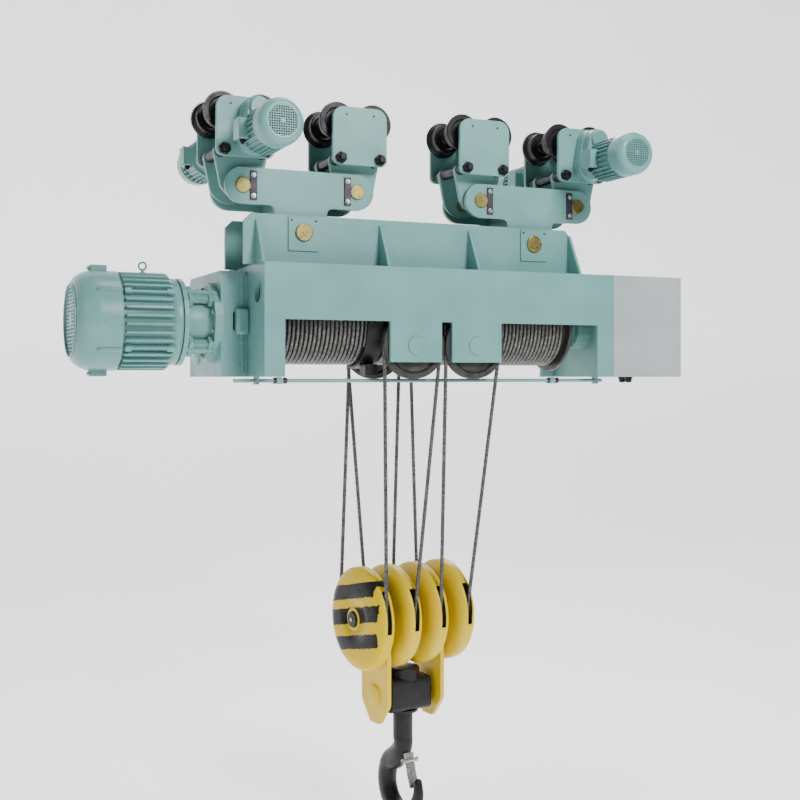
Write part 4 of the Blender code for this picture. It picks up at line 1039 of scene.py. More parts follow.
class HOIST_OT_bogies(bpy.types.Operator):
    """Builds the two rocking bogie beams with their webs, pins and keeper plates"""

    bl_idname = "hoist.bogies"
    bl_label = "Bogies"

    def execute(self, context):
        for side, trolleys in (("left", (1, 2)), ("right", (3, 4))):
            x, _, z = pivot(f"bogie_{side}_rock")
            body = f"bogie_{side}"
            self.beam(side, body, x, z, trolleys)
            self.webs(side, body, x, z, trolleys)
            self.pivot(side, x, z)
            for number in trolleys:
                self.trolley_pin(number, body)
            self.keepers(side, body, trolleys)
        return {"FINISHED"}

    def outline(self, x, z, trolleys):
        """The side plate: a round arm over each trolley pin and a neck down to the pivot."""
        pins = [pivot(f"trolley_{n}_swing") for n in trolleys]
        arm_z = pins[0][2]
        left, right = pins[0][0], pins[1][0]
        end_r = 0.087
        neck = 0.131
        rise = 0.084
        points = arc((right, arm_z), end_r, 90 - 14, -90, 12)
        points += arc((x + neck + 0.03, arm_z - end_r - 0.03), 0.03, 90, 180, 5)
        points += arc((x + neck - 0.04, z - 0.045), 0.04, 0, -90, 6)
        points += arc((x - neck + 0.04, z - 0.045), 0.04, -90, -180, 6)
        points += arc((x - neck - 0.03, arm_z - end_r - 0.03), 0.03, 0, 90, 5)
        points += arc((left, arm_z), end_r, 270, 90 + 14, 12)
        points += [(x - 0.06, arm_z + rise + 0.001), (x + 0.06, arm_z + rise + 0.001)]
        return points

    def beam(self, side, body, x, z, trolleys):
        inner, thick = 0.112, 0.024
        bm = bmesh.new()
        for way in ENDS:
            add_plate(bm, self.outline(x, z, trolleys), *sorted((way * inner, way * (inner + thick))))
        settle(f"bogie_plates_{side}", bm, body, FRAME_PAINT, (f"bogie_beam_{side}",), edge=0.002)

    def webs(self, side, body, x, z, trolleys):
        arm_z = pivot(f"trolley_{trolleys[0]}_swing")[2]
        half = 0.1125
        bm = bmesh.new()
        for way in ENDS:
            add_box(
                bm, (x + way * 0.105 - 0.009, -half, z + 0.05),
                (x + way * 0.105 + 0.009, half, arm_z + 0.062),
            )
        settle(f"bogie_webs_{side}", bm, body, FRAME_PAINT, edge=0.0015)

    def pivot(self, side, x, z):
        """The big pin through the neck, held by a keeper plate each side."""
        bm = bmesh.new()
        for way in ENDS:
            profile = [(0.1765, 0), (0.1765, 0.042), (0.184, 0.042), (0.1875, 0.0385), (0.1875, 0)]
            add_turned(bm, profile, (x, 0, z), (0, way, 0), 48)
        settle(f"pivot_pin_heads_{side}", bm, "hoist_frame", ZINC_PLATE, (f"bogie_pin_{side}",))
        bm = made(add_turned, rod(-0.176, 0.176, 0.0345), (x, 0, z), (0, 1, 0), 48)
        settle(f"pivot_pin_{side}", bm, "hoist_frame", ZINC_PLATE)

    def trolley_pin(self, number, body):
        x, _, z = pivot(f"trolley_{number}_swing")
        top = 0.1365
        profile = [
            (-top - 0.010, 0), (-top - 0.010, 0.033), (-top - 0.007, 0.036), (-top, 0.036),
            (-top, 0.0296),
            (top, 0.0296), (top, 0.036), (top + 0.007, 0.036), (top + 0.010, 0.033), (top + 0.010, 0),
        ]
        bm = made(add_turned, profile, (x, 0, z), (0, 1, 0), 48)
        settle(f"trolley_pin_{number}_turned", bm, body, ZINC_PLATE, (f"trolley_pin_{number}",))

    def keepers(self, side, body, trolleys):
        """An upright keeper plate with two bolts beside each trolley pin, on the beam's inner side."""
        plates = bmesh.new()
        bolts = bmesh.new()
        middle = pivot(f"bogie_{side}_rock")[0]
        for number in trolleys:
            x, _, z = pivot(f"trolley_{number}_swing")
            way = 1 if x < middle else -1
            for face in ENDS:
                near = 0.1362
                low, high = sorted((face * near, face * (near + 0.008)))
                x0, x1 = sorted((x + way * 0.033, x + way * 0.066))
                add_box(plates, (x0, low, z - 0.0675), (x1, high, z + 0.0675))
                for up in (-0.048, 0.048):
                    add_bolt(
                        bolts, ((x0 + x1) / 2, face * (near + 0.0078), z + up), (0, face, 0),
                        0.0085, 0.007,
                    )
        settle(f"keeper_plates_{side}", plates, body, ("zinc_pin", "keeper_steel"), edge=0.0015)
        settle(f"keeper_bolts_{side}", bolts, body, ("zinc_pin", "bright_steel"))


# ---------------------------------------------------------------- trolleys, wheels, drives


class HOIST_OT_trolleys(bpy.types.Operator):
    """Builds each trolley's side plates, hangers, tie rods, nuts and spacers"""

    bl_idname = "hoist.trolleys"
    bl_label = "Trolleys"

    def execute(self, context):
        for number in TROLLEYS:
            x, _, pin_z = pivot(f"trolley_{number}_swing")
            body = f"trolley_{number}"
            self.plates(number, body, x)
            self.hangers(number, body, x, pin_z)
            self.rods(number, body, x)
        return {"FINISHED"}

    def plates(self, number, body, x):
        half = 0.1385
        top, low = 0.1345, -0.1425
        round_top, round_low = 0.055, 0.032
        outline = arc((x + half - round_low, low + round_low), round_low, -90, 0, 8)
        outline += arc((x + half - round_top, top - round_top), round_top, 0, 90, 10)
        outline += arc((x - half + round_top, top - round_top), round_top, 90, 180, 10)
        outline += arc((x - half + round_low, low + round_low), round_low, 180, 270, 8)
        bm = bmesh.new()
        for side in ENDS:
            add_plate(bm, outline, *sorted((side * 0.16, side * PLATE_OUTSIDE)))
        settle(
            f"trolley_plates_{number}", bm, body, FRAME_PAINT, (f"trolley_frame_{number}",),
            edge=0.002,
        )
        bm = bmesh.new()
        for side in ENDS:
            for way in ENDS:
                add_bolt(bm, (x + way * 0.07, side * 0.1798, 0.098), (0, side, 0), 0.0055, 0.004, False)
        settle(f"trolley_screws_{number}", bm, body, DARK_SCREWS)

    def hangers(self, number, body, x, pin_z):
        """The two cross plates that hang from the tie rods and hold the trolley pin."""
        bm = bmesh.new()
        inner, thick = 0.078, 0.022
        for side in ENDS:
            y0, y1 = sorted((side * inner, side * (inner + thick)))
            left, right = (x - TIE_ROD_SPREAD, TIE_ROD_Z), (x + TIE_ROD_SPREAD, TIE_ROD_Z)
            points = arc(right, 0.03, 90, -20, 8) + arc((x, pin_z + 0.045), 0.108, -25, -155, 16) + arc(
                left, 0.03, 200, 90, 8,
            )
            add_plate(bm, points, y0, y1)
        settle(f"hangers_{number}", bm, body, FRAME_PAINT, edge=0.002)

    def rods(self, number, body, x):
        half = 0.222
        rods = bmesh.new()
        nuts = bmesh.new()
        for way in ENDS:
            at = (x + way * TIE_ROD_SPREAD, 0, TIE_ROD_Z)
            profile = [(-half, 0), (-half, 0.0135)]
            pitch = 0.004
            run = half - 0.004
            for end in ENDS:
                marks = []
                steps = 14
                for k in range(steps):
                    a = end * (run - k * pitch)
                    marks.append((a, 0.0158))
                    marks.append((a - end * pitch * 0.5, 0.0138))
                if end < 0:
                    profile += marks
                else:
                    profile += [(-0.1, 0.0152), (0.1, 0.0152)] + list(reversed(marks))
            profile += [(half, 0.0135), (half, 0)]
            add_turned(rods, profile, at, (0, 1, 0), 20)
            for side in ENDS:
                for near in (0.1803, 0.131):
                    self.nut(nuts, (at[0], side * near, TIE_ROD_Z), side, near > 0.15)
                profile = [(0.1003, 0.0155), (0.1003, 0.026), (0.1303, 0.026), (0.1303, 0.0155)]
                add_turned(nuts, profile, at, (0, side, 0), 28, True)
            profile = [(-0.0775, 0.0155), (-0.0775, 0.024), (0.0775, 0.024), (0.0775, 0.0155)]
            add_turned(nuts, profile, at, (0, 1, 0), 28, True)
        settle(f"tie_rods_{number}", rods, body, BLACK_PAINT)
        settle(f"tie_rod_nuts_{number}", nuts, body, BLACK_PAINT, edge=0.0012)

    def nut(self, bm, spot, side, slotted):
        """A hexagon nut; the outer ones carry a crown cut into six."""
        across = 0.0295
        high = 0.016 if slotted else 0.026
        profile = [
            (0, 0.015), (0, across - 0.002), (0.002, across), (high - 0.002, across),
            (high, across - 0.003), (high, 0.015),
        ]
        add_turned(bm, profile, spot, (0, side, 0), 6, True)
        if not slotted:
            return
        for k in range(6):
            start = math.degrees(math.pi * k / 3) + 10
            outline = arc((spot[0], spot[2]), 0.016, start, start + 40, 4) + arc(
                (spot[0], spot[2]), 0.0235, start + 40, start, 4,
            )
            add_plate(bm, outline, *sorted((spot[1] + side * high, spot[1] + side * (high + 0.009))))


class HOIST_OT_wheels(bpy.types.Operator):
    """Turns the sixteen flanged wheels, with gear teeth on the driven trolleys' flanges"""

    bl_idname = "hoist.wheels"
    bl_label = "Wheels"

    def execute(self, context):
        for number in TROLLEYS:
            for corner in (1, 2, 3, 4):
                self.wheel(number, corner)
        return {"FINISHED"}

    def wheel(self, number, corner):
        name = f"wheel_{number}_{corner}"
        x, _, z = pivot(f"{name}_turn")
        side = -1 if corner < 3 else 1
        profile = [
            (0.056, 0), (0.056, 0.022), (0.062, 0.03), (0.062, 0.05), (0.0555, 0.058),
            (0.0555, 0.072), (0.058, 0.0748),
            (0.1035, 0.0748), (0.108, 0.079), (0.112, 0.0885), (0.116, 0.0916), (0.121, 0.0916),
            (0.1245, 0.089),
            (0.1245, 0.066), (0.119, 0.06), (0.119, 0.034), (0.124, 0.032), (0.1545, 0.026),
            (0.1595, 0.0218), (0.1595, 0),
        ]
        if number in DRIVEN_TROLLEYS:
            profile = [(along, min(radius, 0.0865)) for along, radius in profile]
        bm = made(add_turned, profile, (x, 0, z), (0, side, 0), 64)
        settle(f"{name}_turned", bm, name, WHEEL_IRON, (name,))
        if number not in DRIVEN_TROLLEYS:
            return
        bm = bmesh.new()
        count = sizes().wheel_teeth
        for k in range(count):
            turn = 2 * math.pi * k / count
            place = turned_at((x, 0, z), turn, "Y")
            add_plate(
                bm, [(-0.0038, 0.083), (0.0038, 0.083), (0.0015, 0.0918), (-0.0015, 0.0918)],
                *sorted((side * 0.1125, side * 0.1235)), "xz", place,
            )
        settle(f"{name}_teeth", bm, name, WHEEL_IRON)


class HOIST_OT_drives(bpy.types.Operator):
    """Builds the four travel drives: casing, terminal box, ribbed motor and meshed cowl"""

    bl_idname = "hoist.drives"
    bl_label = "Travel drives"

    def execute(self, context):
        for node in sorted(DRIVES):
            self.drive(node, *DRIVES[node])
        return {"FINISHED"}

    def drive(self, node, body, side):
        low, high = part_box(node)
        at = ((low.x + high.x) / 2, 0, DRIVE_Z)
        axis = (0, side, 0)
        near, motor, cowl, end = 0.1803, 0.3303, 0.5303, 0.6353
        self.casing(node, body, at, side, near, motor)
        bm = bmesh.new()
        root, tip = 0.088, 0.1045
        profile = [
            (motor, 0), (motor, tip - 0.012), (motor + 0.003, tip - 0.006),
            (motor + 0.014, tip - 0.004), (motor + 0.017, root),
            (cowl - 0.014, root), (cowl - 0.012, tip - 0.006), (cowl, tip - 0.006), (cowl, 0),
        ]
        add_turned(bm, profile, at, axis, 56)
        count = sizes().drive_ribs
        for k in range(count):
            turn = 2 * math.pi * (k + 0.5) / count
            place = turned_at(at, turn, "Y")
            y0, y1 = sorted((side * (motor + 0.012), side * (cowl - 0.010)))
            add_box(bm, (-0.002, y0, root - 0.004), (0.002, y1, tip - 0.001), place)
        settle(f"{node}_motor", bm, body, MOTOR_PAINT)
        profile = [
            (cowl + 0.0005, 0.098), (cowl + 0.0005, 0.1045), (end - 0.045, 0.1045),
            (end - 0.028, 0.1025), (end - 0.014, 0.096),
            (end - 0.004, 0.086), (end, 0.076), (end - 0.001, 0.07), (end - 0.006, 0.07),
            (end - 0.01, 0.08), (end - 0.045, 0.098),
        ]
        bm = made(add_turned, profile, at, axis, 56, True)
        settle(f"{node}_cowl", bm, body, MOTOR_PAINT)
        bm = made(
            add_mesh_disc, Matrix.Translation((at[0], side * (end - 0.0035), at[2])), 0.0705,
            0.0105, 0.0038, 0.012,
        )
        settle(f"{node}_grille", bm, body, MOTOR_PAINT)
        # Painted shade: a near-black disc behind the grille stands in for the shade inside the cowl
        bm = made(add_turned, rod(end - 0.016, end - 0.013, 0.078), at, axis, 32)
        settle(f"{node}_painted_shade_disc", bm, body, ("green_paint", "cowl_painted_shade"))
        self.terminal_box(node, body, at[0], at[2], side, motor)

    def casing(self, node, body, at, side, near, motor):
        """The rounded gear casing in two lobes with its joint flange, caps and screws."""
        x, _, z = at
        top = WHEEL_FACE - LOBE_R
        bm = bmesh.new()
        upper = arc((x, top), LOBE_R, 0, 180, 18)
        outline = arc((x, z), 0.085, 180, 360, 24) + upper
        wide = arc((x, z), 0.0848, 180, 360, 24) + upper
        add_plate(bm, wide, *sorted((side * near, side * (near + 0.062))))
        inner = [(x + (a - x) * 0.93, z + 0.03 + (b - z - 0.03) * 0.95) for a, b in outline]
        add_plate(bm, inner, *sorted((side * (near + 0.061), side * (near + 0.118))))
        settle(f"{node}_casing", bm, body, MOTOR_PAINT, (node,), edge=0.007)
        bm = bmesh.new()
        cap = [
            (near + 0.117, 0), (near + 0.117, 0.047), (near + 0.128, 0.047), (near + 0.132, 0.043),
            (near + 0.132, 0),
        ]
        add_turned(bm, cap, (x, 0, top), (0, side, 0), 40)
        neck = [
            (near + 0.11, 0), (near + 0.11, 0.078), (motor - 0.02, 0.072), (motor + 0.001, 0.085),
            (motor + 0.001, 0),
        ]
        add_turned(bm, neck, at, (0, side, 0), 48)
        for k in range(7):
            turn = math.pi + 2 * math.pi * k / 7
            seat = (x + 0.0735 * math.cos(turn), side * (near + 0.0615), z + 0.0735 * math.sin(turn))
            if seat[2] < z + 0.02:
                add_bolt(bm, seat, (0, side, 0), 0.006, 0.006, False)
        settle(f"{node}_caps", bm, body, MOTOR_PAINT)

    def terminal_box(self, node, body, x, z, side, motor):
        """A square box with a lipped cover on the motor's outer-left side, and its cable gland."""
        bm = bmesh.new()
        y0, y1 = sorted((side * (motor + 0.004), side * (motor + 0.092)))
        add_box(bm, (x - 0.128, y0, z - 0.044), (x - 0.08, y1, z + 0.044))
        add_box(bm, (x - 0.134, y0 - 0.002, z - 0.047), (x - 0.1265, y1 + 0.002, z + 0.047))
        settle(f"{node}_terminal_box", bm, body, MOTOR_PAINT, edge=0.004)
        seat = (x - 0.104, (y0 + y1) / 2, z - 0.043)
        bm = made(
            add_turned,
            [(0, 0), (0, 0.013), (0.012, 0.013), (0.012, 0.010), (0.02, 0.009), (0.02, 0)], seat,
            (0, 0, -1), 20,
        )
        settle(f"{node}_gland", bm, body, BLACK_PAINT)


# ---------------------------------------------------------------- sheaves and rope


def sheave_profile(path_r, pin_r):
    """A grooved rim on a dished web with a hub, as (along, radius) points."""
    half = SHEAVE_HALF
    groove = path_r - ROPE_R - 0.001
    lip = path_r + 0.0118
    steps = 8
    hollow = []
    for k in range(steps + 1):
        turn = math.pi * k / steps
        hollow.append((-0.0125 * math.cos(turn), groove + 0.0125 * (1 - math.sin(turn))))
    right = [
        (half - 0.003, lip), (half, lip - 0.003), (half, lip - 0.024), (0.008, lip - 0.036),
        (0.008, pin_r + 0.04), (half, pin_r + 0.03), (half, pin_r),
    ]
    return hollow + right + [(-a, r) for a, r in reversed(right)]


class HOIST_OT_sheaves(bpy.types.Operator):
    """Turns the grooved rope sheaves of the frame and of the hook block"""

    bl_idname = "hoist.sheaves"
    bl_label = "Sheaves"

    def execute(self, context):
        for number in UPPER_SHEAVES:
            spot = pivot(f"upper_sheave_{number}_turn")
            bm = made(add_turned, sheave_profile(UPPER_SHEAVE_R, 0.0306), spot, (0, 1, 0), 72, True)
            name = f"upper_sheave_{number}"
            settle(f"{name}_turned", bm, name, SHEAVE_IRON, (name,))
        for number in BLOCK_SHEAVES:
            spot = pivot(f"block_sheave_{number}_turn")
            bm = made(add_turned, sheave_profile(BLOCK_SHEAVE_R, 0.0406), spot, AXLE, 80, True)
            name = f"block_sheave_{number}"
            settle(f"{name}_turned", bm, name, SHEAVE_IRON, (name,))
        return {"FINISHED"}


def add_rope(bm, route, normal):
    """A six-strand rope twisted along a list of closely spaced points in one plane."""
    lay = sizes().rope_lay
    strands = 6
    per_strand = 5
    count = strands * per_strand
    travelled = 0.0
    rings = []
    for k, point in enumerate(route):
        if k:
            travelled += (point - route[k - 1]).length
        ahead = (route[min(k + 1, len(route) - 1)] - route[max(k - 1, 0)]).normalized()
        third = ahead.cross(normal).normalized()
        across = third.cross(ahead)
        ring = []
        for s in range(count):
            turn = 2 * math.pi * s / count
            lobe = abs(math.sin(strands * turn / 2))
            reach = ROPE_R * (0.80 + 0.20 * lobe ** 0.7)
            spun = turn + 2 * math.pi * travelled / lay
            ring.append(
                bm.verts.new(point + (across * math.cos(spun) + third * math.sin(spun)) * reach)
            )
        rings.append(ring)
    skin(bm, rings)


def block_spot(u, w, up):
    return BLOCK @ Vector((u, w, up))


def upper_spot(number, turn):
    x, y, z = pivot(f"upper_sheave_{number}_turn")
    return Vector((x + UPPER_SHEAVE_R * math.cos(turn), y, z + UPPER_SHEAVE_R * math.sin(turn)))


def rope_falls():
    """The eight falls as (upper end, lower end), in the order in which the rope runs."""
    lower = {
        (n, side): block_spot((n - 2.5) * SHEAVE_PITCH, side * BLOCK_SHEAVE_R, 0)
        for n in BLOCK_SHEAVES for side in ENDS
    }
    start = Vector((GUIDE_LOW.x + 0.074, 0.195, DRUM_MIDDLE.z))
    dead = Vector((0.112, 0.24, FRAME_BASE + 0.244))
    left, right = math.pi, 0.0
    return {
        (1, 1): (start, lower[1, 1]),
        (1, -1): (upper_spot(1, left), lower[1, -1]),
        (2, -1): (upper_spot(1, right), lower[2, -1]),
        (2, 1): (upper_spot(3, left), lower[2, 1]),
        (3, 1): (upper_spot(3, right), lower[3, 1]),
        (3, -1): (upper_spot(2, left), lower[3, -1]),
        (4, -1): (upper_spot(2, right), lower[4, -1]),
        (4, 1): (dead, lower[4, 1]),
    }


FALLS = rope_falls()
FALL_LEANS = {key: (top - low).dot(AXLE) / (top.z - low.z) for key, (top, low) in FALLS.items()}


class HOIST_OT_rope(bpy.types.Operator):
    """Lays the twisted wire rope: eight falls, the turns round the sheaves and the dead end"""

    bl_idname = "hoist.rope"
    bl_label = "Wire rope"

    def execute(self, context):
        for index, (top, low) in enumerate(FALLS.values(), 1):
            self.fall(index, top, low)
        self.lower_turns()
        self.upper_turns()
        self.dead_end(FALLS[4, 1][0])
        return {"FINISHED"}

    def fall(self, index, top, low):
        """One straight fall, on a mesh of its own."""
        steps = int((top - low).length / (sizes().rope_lay / 14))
        route = [top.lerp(low, k / steps) for k in range(steps + 1)]
        bm = made(add_rope, route, ROPE_NORMAL)
        obj = settle(f"rope_fall_{index}", bm, "hoist_frame", ROPE_WIRE, angle=75)
        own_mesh(obj)

    def lower_turns(self):
        for number in BLOCK_SHEAVES:
            route = []
            for k in range(73):
                turn = math.pi * k / 72
                route.append(
                    block_spot(
                        (number - 2.5) * SHEAVE_PITCH, BLOCK_SHEAVE_R * math.cos(turn),
                        -BLOCK_SHEAVE_R * math.sin(turn),
                    )
                )
            bm = made(add_rope, route, AXLE)
            settle(f"rope_turn_low_{number}", bm, "hook_block", ROPE_WIRE, angle=75)

    def upper_turns(self):
        for number in UPPER_SHEAVES:
            route = [upper_spot(number, math.pi * k / 60) for k in range(61)]
            bm = made(add_rope, route, Vector((0, 1, 0)))
            taken = ("wire_rope",) if number == 1 else ()
            settle(f"rope_turn_high_{number}", bm, "hoist_frame", ROPE_WIRE, taken, angle=75)

    def dead_end(self, spot):
        """A wedge socket that holds the rope's end, on a pin through the frame's lower part."""
        x, y, z = spot
        outline = [
            (x - 0.014, z - 0.10), (x + 0.014, z - 0.10), (x + 0.04, z + 0.005),
            (x + 0.028, z + 0.016), (x - 0.028, z + 0.016), (x - 0.04, z + 0.005),
        ]
        bm = made(add_plate, outline, y - 0.018, y + 0.018)
        settle("rope_socket", bm, "hoist_frame", ("rope_wire", "dark_iron"), edge=0.004)


# ---------------------------------------------------------------- hook block


class HOIST_OT_block(bpy.types.Operator):
    """Builds the hook block: four domed guards, cheeks, axle and crosshead"""

    bl_idname = "hoist.block"
    bl_label = "Hook block"

    def execute(self, context):
        for number in BLOCK_SHEAVES:
            self.guard(number)
        self.cheeks()
        self.axle()
        self.crosshead()
        return {"FINISHED"}

    def guard(self, number):
        """A domed shell round one sheave, slotted where the falls enter in front and behind."""
        u = (number - 2.5) * SHEAVE_PITCH
        sides = 120
        flat = [(-0.0518, 0.041), (-0.0518, 0.14), (-0.0508, 0.19), (-0.0473, 0.213), (-0.0398, 0.231)]
        bm = bmesh.new()
        spokes = []
        for k in range(sides):
            degrees = 360 * k / sides
            low, high = self.slot_edges(number, degrees)
            middle = [-0.0398 + (low + 0.0398) * t / 5 for t in range(1, 6)]
            middle += [high + (0.0398 - high) * t / 5 for t in range(5)]
            profile = flat + [(a, self.dome(a)) for a in middle] + [
                (-a, radius)
                for a, radius in reversed(flat)
            ]
            turn = math.radians(degrees)
            spokes.append(
                [
                    bm.verts.new(block_spot(u + a, q * math.cos(turn), q * math.sin(turn)))
                    for a, q in profile
                ]
            )
        slot_column = len(flat) + 4
        for k in range(sides):
            here, there = spokes[k], spokes[(k + 1) % sides]
            for column in range(len(here) - 1):
                if column == slot_column and self.open_at(360 * (k + 0.5) / sides):
                    continue
                bm.faces.new([here[column], there[column], there[column + 1], here[column + 1]])
        wear = ("yellow_paint", "striped_enamel") if number == 1 else BLOCK_PAINT
        obj = settle(f"guard_shell_{number}", bm, "hook_block", wear, (f"guard_{number}",), angle=40)
        wall = obj.modifiers.new("wall", "SOLIDIFY")
        wall.thickness = 0.004
        wall.offset = -1
        hubs = bmesh.new()
        for side in ENDS:
            profile = [(0.051, 0.058), (0.0543, 0.056), (0.0543, 0.0405), (0.051, 0.0405)]
            add_turned(hubs, profile, block_spot(u, 0, 0), AXLE * side, 40, True)
        settle(f"guard_hubs_{number}", hubs, "hook_block", BLOCK_PAINT)

    def dome(self, along):
        """The guard's radius at a distance from its middle: a level rim that rolls over into the sides."""
        over = max(abs(along) - 0.016, 0) / 0.0238
        return 0.2518 - 0.0208 * over ** 2

    def slot_edges(self, number, degrees):
        """The slot's two edges at an angle round the rim; it widens upward the way its fall leans."""
        half = 0.0125
        up = BLOCK_SHEAVE_R * math.sin(math.radians(degrees))
        side = -1 if 90 < degrees < 270 else 1
        if not self.open_at(degrees) and not self.open_at(degrees - 3) and not self.open_at(
            degrees + 3
        ):
            return -half, half
        lean = FALL_LEANS[number, side] * max(up, 0)
        return min(lean, 0) - half, max(lean, 0) + half

    def open_at(self, degrees):
        """True over the arcs of the rim where the falls pass through it."""
        return degrees < 40 or degrees > 351 or 140 < degrees < 189

    def cheeks(self):
        for name, side in (("cheek_left", -1), ("cheek_right", 1)):
            u = side * SHEAVE_PITCH
            half, rise, drop = 0.1225, 0.06, 0.525
            outline = arc((half - 0.035, rise - 0.035), 0.035, 0, 90, 6)
            outline += arc((-half + 0.035, rise - 0.035), 0.035, 90, 180, 6)
            outline += arc((-half + 0.05, -drop + 0.12), 0.05, 180, 225, 4)
            outline += arc((-half + 0.095, -drop + 0.03), 0.03, 225, 270, 4)
            outline += arc((half - 0.095, -drop + 0.03), 0.03, 270, 315, 4)
            outline += arc((half - 0.05, -drop + 0.12), 0.05, 315, 360, 4)
            bm = made(add_plate, outline, u - 0.0115, u + 0.0115, "yz", BLOCK)
            settle(f"{name}_plate", bm, "hook_block", BLOCK_PAINT, (name,), edge=0.003)
            profile = [
                (0.0112, 0), (0.0112, 0.052), (0.020, 0.050), (0.0255, 0.046), (0.028, 0.040),
                (0.028, 0),
            ]
            bm = made(add_turned, profile, block_spot(u, 0, -CROSSHEAD_DROP), AXLE * side, 48)
            settle(f"{name}_boss", bm, "hook_block", BLOCK_PAINT)

    def axle(self):
        half = 1.5 * SHEAVE_PITCH + 0.052 + 0.012
        profile = [
            (-half, 0), (-half, 0.036), (-half + 0.003, 0.0395), (half - 0.003, 0.0395),
            (half, 0.036), (half, 0),
        ]
        bm = made(add_turned, profile, BLOCK_MIDDLE, AXLE, 48)
        settle("sheave_axle_turned", bm, "hook_block", FORGING, ("sheave_axle",))
        bm = bmesh.new()
        for side in ENDS:
            seat = block_spot(side * (half - 0.0005), 0, 0)
            add_turned(
                bm, [(0, 0), (0, 0.009), (0.004, 0.009), (0.006, 0.006), (0.006, 0)], seat,
                AXLE * side, 20,
            )
        settle("grease_nipples", bm, "hook_block", ("black_forging", "bright_steel"))

    def crosshead(self):
        middle = -CROSSHEAD_DROP
        outline = arc((0.06, middle + 0.05), 0.0245, 0, 90, 6) + arc(
            (-0.06, middle + 0.05), 0.0245, 90, 180, 6,
        )
        outline += arc((-0.055, middle - 0.06), 0.0295, 180, 270, 6) + arc(
            (0.055, middle - 0.06), 0.0295, 270, 360, 6,
        )
        bm = made(add_plate, outline, -0.1175, 0.1175, "yz", BLOCK)
        settle("crosshead_forging", bm, "crosshead", FORGING, ("crosshead",), edge=0.006)
        bm = bmesh.new()
        end = SHEAVE_PITCH + 0.0115 + 0.0138
        for side in ENDS:
            profile = [(0.11, 0), (0.11, 0.0348), (end - 0.003, 0.0348), (end, 0.0318), (end, 0)]
            add_turned(bm, profile, block_spot(0, 0, middle), AXLE * side, 40)
        settle("crosshead_trunnions", bm, "crosshead", FORGING)
        profile = [(-0.012, 0.0515), (-0.012, 0.074), (0, 0.078), (0.001, 0.0515)]
        bm = made(add_turned, profile, block_spot(0, 0, middle - 0.09), (0, 0, 1), 48, True)
        settle("crosshead_collar", bm, "crosshead", FORGING)
        profile = [
            (-0.34, 0.0675), (-0.34, 0.0832), (-0.272, 0.0832), (-0.264, 0.077), (-0.262, 0.06),
            (-0.262, 0), (-0.2665, 0), (-0.2665, 0.0675),
        ]
        bm = made(add_turned, profile, block_spot(0, 0, 0), (0, 0, 1), 56)
        settle("hook_nut_housing", bm, "crosshead", FORGING)


